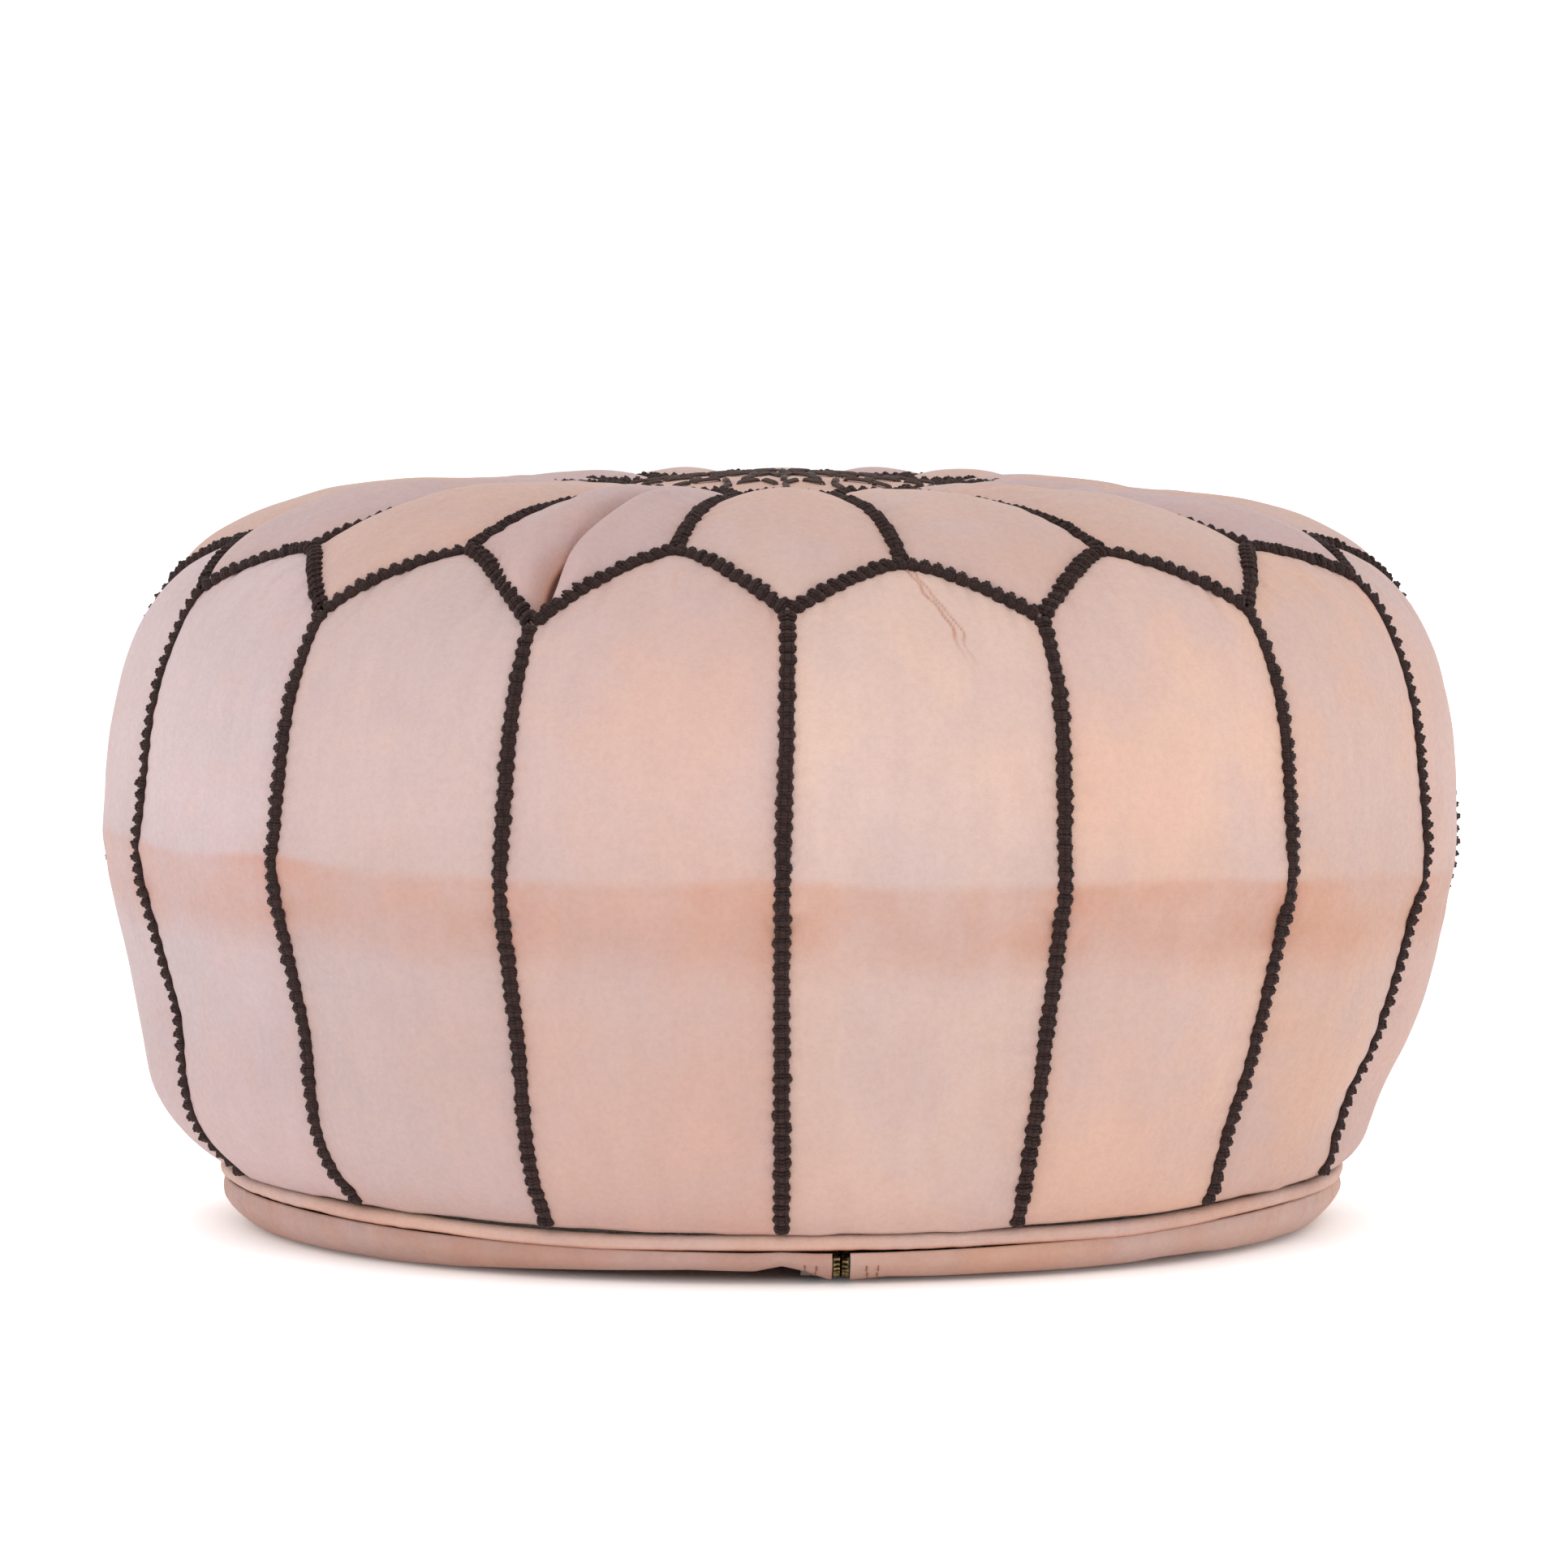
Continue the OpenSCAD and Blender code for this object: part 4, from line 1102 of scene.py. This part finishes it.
def make_base(side, name):
    outer, inner, turns = base_panel(side)
    stain = 0.40 + 0.3 * noise(outer, 0.04, 605) + 0.25 * noise(outer, 0.012, 606)
    # Painted shade: the rounded edge is drawn tanner as it turns under towards the floor
    stain += 0.45 * smooth((50 - turns) / 40) * (turns > 0)
    cut = [outer[..., 0], outer[..., 1] - outer[..., 2], 0 * turns]
    # Painted shade: both tints are darker than the side panels', standing in for the shade on the low base;
    # the left one is darker still
    tint = srgb(186, 146, 130) if side < 0 else srgb(208, 171, 152)
    made = leather(name + "_leather", tint, 95 + side)
    obj = leather_piece(name, "base_leather", outer, inner, cut, stain, made)
    recalculate_normals(obj)


def recalculate_normals(obj):
    work = bmesh.new()
    work.from_mesh(obj.data)
    bmesh.ops.recalc_face_normals(work, faces=work.faces)
    work.to_mesh(obj.data)
    work.free()


make_base(-1, "base_panel_left")
make_base(1, "base_panel_right")


# ---- zip ----

ZIP_FLAT_Y = math.sqrt(BASE_FLAT_R**2 - ZIP_X**2)
ZIP_TURN = 78
ZIP_HALF = ZIP_FLAT_Y + BASE_ROUND_W * math.radians(ZIP_TURN)
TOOTH_PITCH = 3 * MM


def chain(s):
    """Y, height and slope of the zip's chain at distances s along it from the middle."""
    s = np.asarray(s, float)
    over = np.maximum(0, np.abs(s) - ZIP_FLAT_Y)
    turn = over / BASE_ROUND_W
    y = np.minimum(np.abs(s), ZIP_FLAT_Y) + (BASE_ROUND_W - CHAIN_UP) * np.sin(turn)
    y = y - RIM_PULL * smooth(turn / math.radians(60)) * np.sin(turn)
    height = BASE_ROUND_H - seam_drop(np.where(s < 0, 0, 180))
    z = hollow_along(y) + ZIP_LIFT + CHAIN_UP + (height - CHAIN_UP) * (1 - np.cos(turn))
    slope = turn + np.arctan((hollow_along(y + MM) - hollow_along(y - MM)) / (2 * MM))
    return np.sign(s) * y, z, np.sign(s) * slope


def along_chain(template, s):
    """Copies of template points, x across, y along and z above the chain, at each distance s."""
    y, z, slope = chain(s)
    c, k = np.cos(slope)[:, None], np.sin(slope)[:, None]
    points = np.empty((len(y), len(template), 3))
    points[..., 0] = ZIP_X + template[:, 0]
    points[..., 1] = y[:, None] + c * template[:, 1] - k * template[:, 2]
    points[..., 2] = z[:, None] + k * template[:, 1] + c * template[:, 2]
    return points


def tooth():
    """One tooth: a rounded head beside the middle, a neck, and a clamp on the tape."""
    stations = [0.3, 0.36, 0.55, 0.8, 1.1, 1.7, 1.9, 2.9, 3.1, 3.2]
    half_height = [0.45, 0.7, 0.95, 0.85, 0.75, 0.85, 1.12, 1.15, 1.05, 0.7]
    half_length = [0.4, 0.5, 0.62, 0.62, 0.5, 0.52, 0.64, 0.65, 0.6, 0.4]
    turn = (np.arange(12) + 0.5) * math.pi / 6
    y, z = (np.sign(v) * np.abs(v) ** 0.45 for v in (np.cos(turn), np.sin(turn)))
    rings = [
        np.stack([np.full(12, x), y * length, z * height], -1)
        for x, height, length in zip(stations, half_height, half_length)
    ]
    tip = [[stations[0] - 0.02, 0, 0]] * 12
    back = [[stations[-1] + 0.05, 0, 0]] * 12
    points = np.concatenate([tip, *rings, back]) * MM
    return points, faces(np.arange(len(points)).reshape(-1, 12), True, True)


def teeth(side, name):
    template, quads = tooth()
    template = template * np.array([side, 1, 1])
    count = int((ZIP_HALF - 2 * MM) / TOOTH_PITCH)
    points = along_chain(template, (np.arange(-count, count + 1) + side / 4) * TOOTH_PITCH)
    copies = np.arange(len(points))[:, None, None] * len(template) + quads
    recalculate_normals(add_piece(name + "_piece", name, "zip_brass", points, copies, brass))


def tape(side, name):
    s = np.linspace(-ZIP_HALF + MM, ZIP_HALF - MM, 900)
    x = np.linspace(2.4, 15, 26) * MM
    bead = 0.35 * MM * np.exp(-(((x - 2.7 * MM) / (0.5 * MM)) ** 2))
    faces = []
    follow = np.sqrt(BASE_FLAT_R**2 - (ZIP_X + side * x) ** 2) - ZIP_FLAT_Y
    over = smooth((np.abs(s) - ZIP_FLAT_Y + 4 * MM) / (6 * MM)) * np.sign(s)
    for up in (-1, 1):
        template = np.stack([side * x, 0 * x, up * (0.3 * MM + bead)], -1)
        face = along_chain(template, s)
        face[..., 1] += over[:, None] * follow * smooth((x - 4 * MM) / (6 * MM))
        faces.append(face)
    points, quads = shell(*faces)
    cut = np.stack(np.broadcast_arrays(x[None], s[:, None], 0.0), -1).reshape(-1, 3)
    cut = np.concatenate([cut, cut])
    obj = add_piece(name + "_piece", name, "zip_tape", points, quads, zip_cloth, cut_place=cut)
    recalculate_normals(obj)


SEWING_ROWS = (-13.6 * MM, -9.6 * MM, 9.6 * MM, 13.6 * MM)
STITCH_PITCH = 4.2 * MM


def zip_sewing():
    """Rows of stitches through the base's leather beside the zip."""
    b = np.linspace(-1, 1, 9)
    paths = []
    rng = np.random.default_rng(11)
    count = int((ZIP_HALF - 2 * MM) / STITCH_PITCH)
    for x in SEWING_ROWS:
        for k in range(-count, count + 1):
            s = k * STITCH_PITCH + b * 1.6 * MM
            over = np.maximum(0, np.abs(s) - ZIP_FLAT_Y) / BASE_ROUND_W
            r = BASE_FLAT_R + BASE_ROUND_W * np.sin(over)
            px = ZIP_X + x + 0.25 * MM * rng.standard_normal()
            py = np.where(over > 0, np.sqrt(r**2 - px**2), np.abs(s)) * np.sign(s)
            pz = base_surface(np.full_like(py, px), py, np.degrees(over))
            out = np.stack([0 * b, np.sin(over) * np.sign(s), -np.cos(over)], -1)
            push = base_push(np.full_like(py, px), py, np.degrees(over))
            out = out * 0.28 * MM * (1 - 1.6 * b[:, None] ** 6)
            edge = np.sin(over) * push / np.maximum(np.hypot(px, py), MM)
            paths.append(np.stack([px + px * edge, py + py * edge, pz], -1) + out)
    paths = np.array(paths)
    points, quads, thread = tubes(paths, np.full(paths.shape[:2], 0.3 * MM), np.array([1.0, 0, 0]), 6)
    names = ("zip_sewing_thread", "zip_stitching", "stitch_thread")
    add_piece(*names, points, quads, sewing_thread, thread_place=thread)


teeth(-1, "zip_teeth_left")
teeth(1, "zip_teeth_right")
tape(-1, "zip_tape_left")
tape(1, "zip_tape_right")
zip_sewing()


def rounded_copy(name, piece, body, width):
    """The CAD part's own shape with its edges rounded over."""
    obj = add_object(piece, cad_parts[name].data.copy())
    work = bmesh.new()
    work.from_mesh(obj.data)
    bmesh.ops.remove_doubles(work, verts=work.verts, dist=0.01 * MM)
    bmesh.ops.dissolve_limit(work, angle_limit=math.radians(2), verts=work.verts, edges=work.edges)
    work.to_mesh(obj.data)
    work.free()
    bevel = obj.modifiers.new("rounding", "BEVEL")
    set_all(bevel, width=width, segments=3, limit_method="ANGLE", angle_limit=math.radians(35))
    obj.data.materials.clear()
    obj.data.materials.append(brass)
    stand_in(obj, name, body)


rounded_copy("zip_slider", "zip_slider_body", "slider", 0.22 * MM)
rounded_copy("zip_pull", "zip_pull_tab", "pull", 0.18 * MM)


# ---- stuffing ----


def stuffing():
    rows, cols = 90, 256
    place = np.linspace(BASE_SEAM, CENTRE, rows)[:, None]
    angle = (np.arange(cols) * 360 / cols)[None]
    flat = on_body(angle, place, 0)
    lumps = 1.5 * MM * (1 + noise(flat, 0.05, 701)) + 0.8 * MM * (1 + noise(flat, 0.016, 702))
    wall = on_body(angle, place, -dip(place) - LEATHER - 2.5 * MM - lumps)
    ring = np.linspace(1, 0, 40)[:, None]
    under = polar(angle, (BASE_FLAT_R - 6 * MM) * ring, 0.0)
    under[..., 2] = 3.5 * MM + 1.5 * MM * (1 + noise(under, 0.05, 703)) + stuffing_room(under[..., 0])
    points = np.concatenate([wall[::-1], under])
    count = len(points)
    quads = faces(np.arange(count * cols).reshape(count, cols), closed=True)[:, ::-1]
    names = ("cotton_stuffing_piece", "stuffing", "stuffing")
    obj = add_piece(*names, points, quads, stuffing_material())
    recalculate_normals(obj)


def stuffing_room(x):
    """Extra height of the stuffing's underside over the zip."""
    return 13 * MM * (1 - smooth((np.abs(x - ZIP_X) - 10 * MM) / (36 * MM)))


stuffing()


# ---- floor, camera and lights ----


def stage():
    made, tree, shader = new_material("floor", 0.9)
    where = object_place(tree)
    specks = remap(tree, texture(tree, where, 30, 2), 0.3, 0.7)
    colour = blend_colours(tree, specks, srgb(250, 250, 250), srgb(254, 254, 254))
    tree.links.new(colour, shader.inputs["Base Color"])
    # Painted light: the floor glows, not at all within 0.19 m of the middle and up to 0.42 beyond 0.25 m,
    # which lights away the pouf's soft shadow on it and lights the lower pouf from below
    reach = node(tree, "VectorMath", {0: where}, operation="LENGTH").outputs["Value"]
    tree.links.new(remap(tree, reach, 0.19, 0.25, 0.0, 0.42), shader.inputs["Emission Strength"])
    shader.inputs["Emission Color"].default_value = (1, 1, 1, 1)
    size = 30.0
    corners = [(-size, -size, 0), (size, -size, 0), (size, size, 0), (-size, size, 0)]
    floor = add_mesh("floor", corners, [(0, 1, 2, 3)], made)


def light(name, spot, target, size, power, colour):
    made = bpy.data.lights.new(name, "AREA")
    set_all(made, shape="DISK", size=size, energy=power, color=colour)
    obj = add_object(name, made)
    obj.location = spot
    towards = np.array(target) - np.array(spot)
    yaw = math.atan2(towards[1], towards[0]) - math.pi / 2
    pitch = math.atan2(towards[2], math.hypot(towards[0], towards[1])) + math.pi / 2
    obj.rotation_euler = (pitch, 0, yaw)


def camera():
    made = bpy.data.cameras.new("camera")
    set_all(made, lens=154, sensor_width=36, clip_end=100)
    obj = add_object("camera", made)
    obj.location = (0.8 * MM, -2.70, 0.3255)
    obj.rotation_euler = (math.radians(90 - 3.2), 0, 0)
    bpy.context.scene.camera = obj


def sky():
    world = bpy.data.worlds.new("studio")
    world.use_nodes = True
    background = world.node_tree.nodes["Background"]
    background.inputs["Color"].default_value = (1, 1, 1, 1)
    background.inputs["Strength"].default_value = 1.02
    bpy.context.scene.world = world


stage()
camera()
sky()
light("front", (-0.9, -3.2, 1.5), (0, 0, 0.15), 2.2, 8, (1, 0.98, 0.96))
bpy.context.scene.view_settings.view_transform = "Standard"
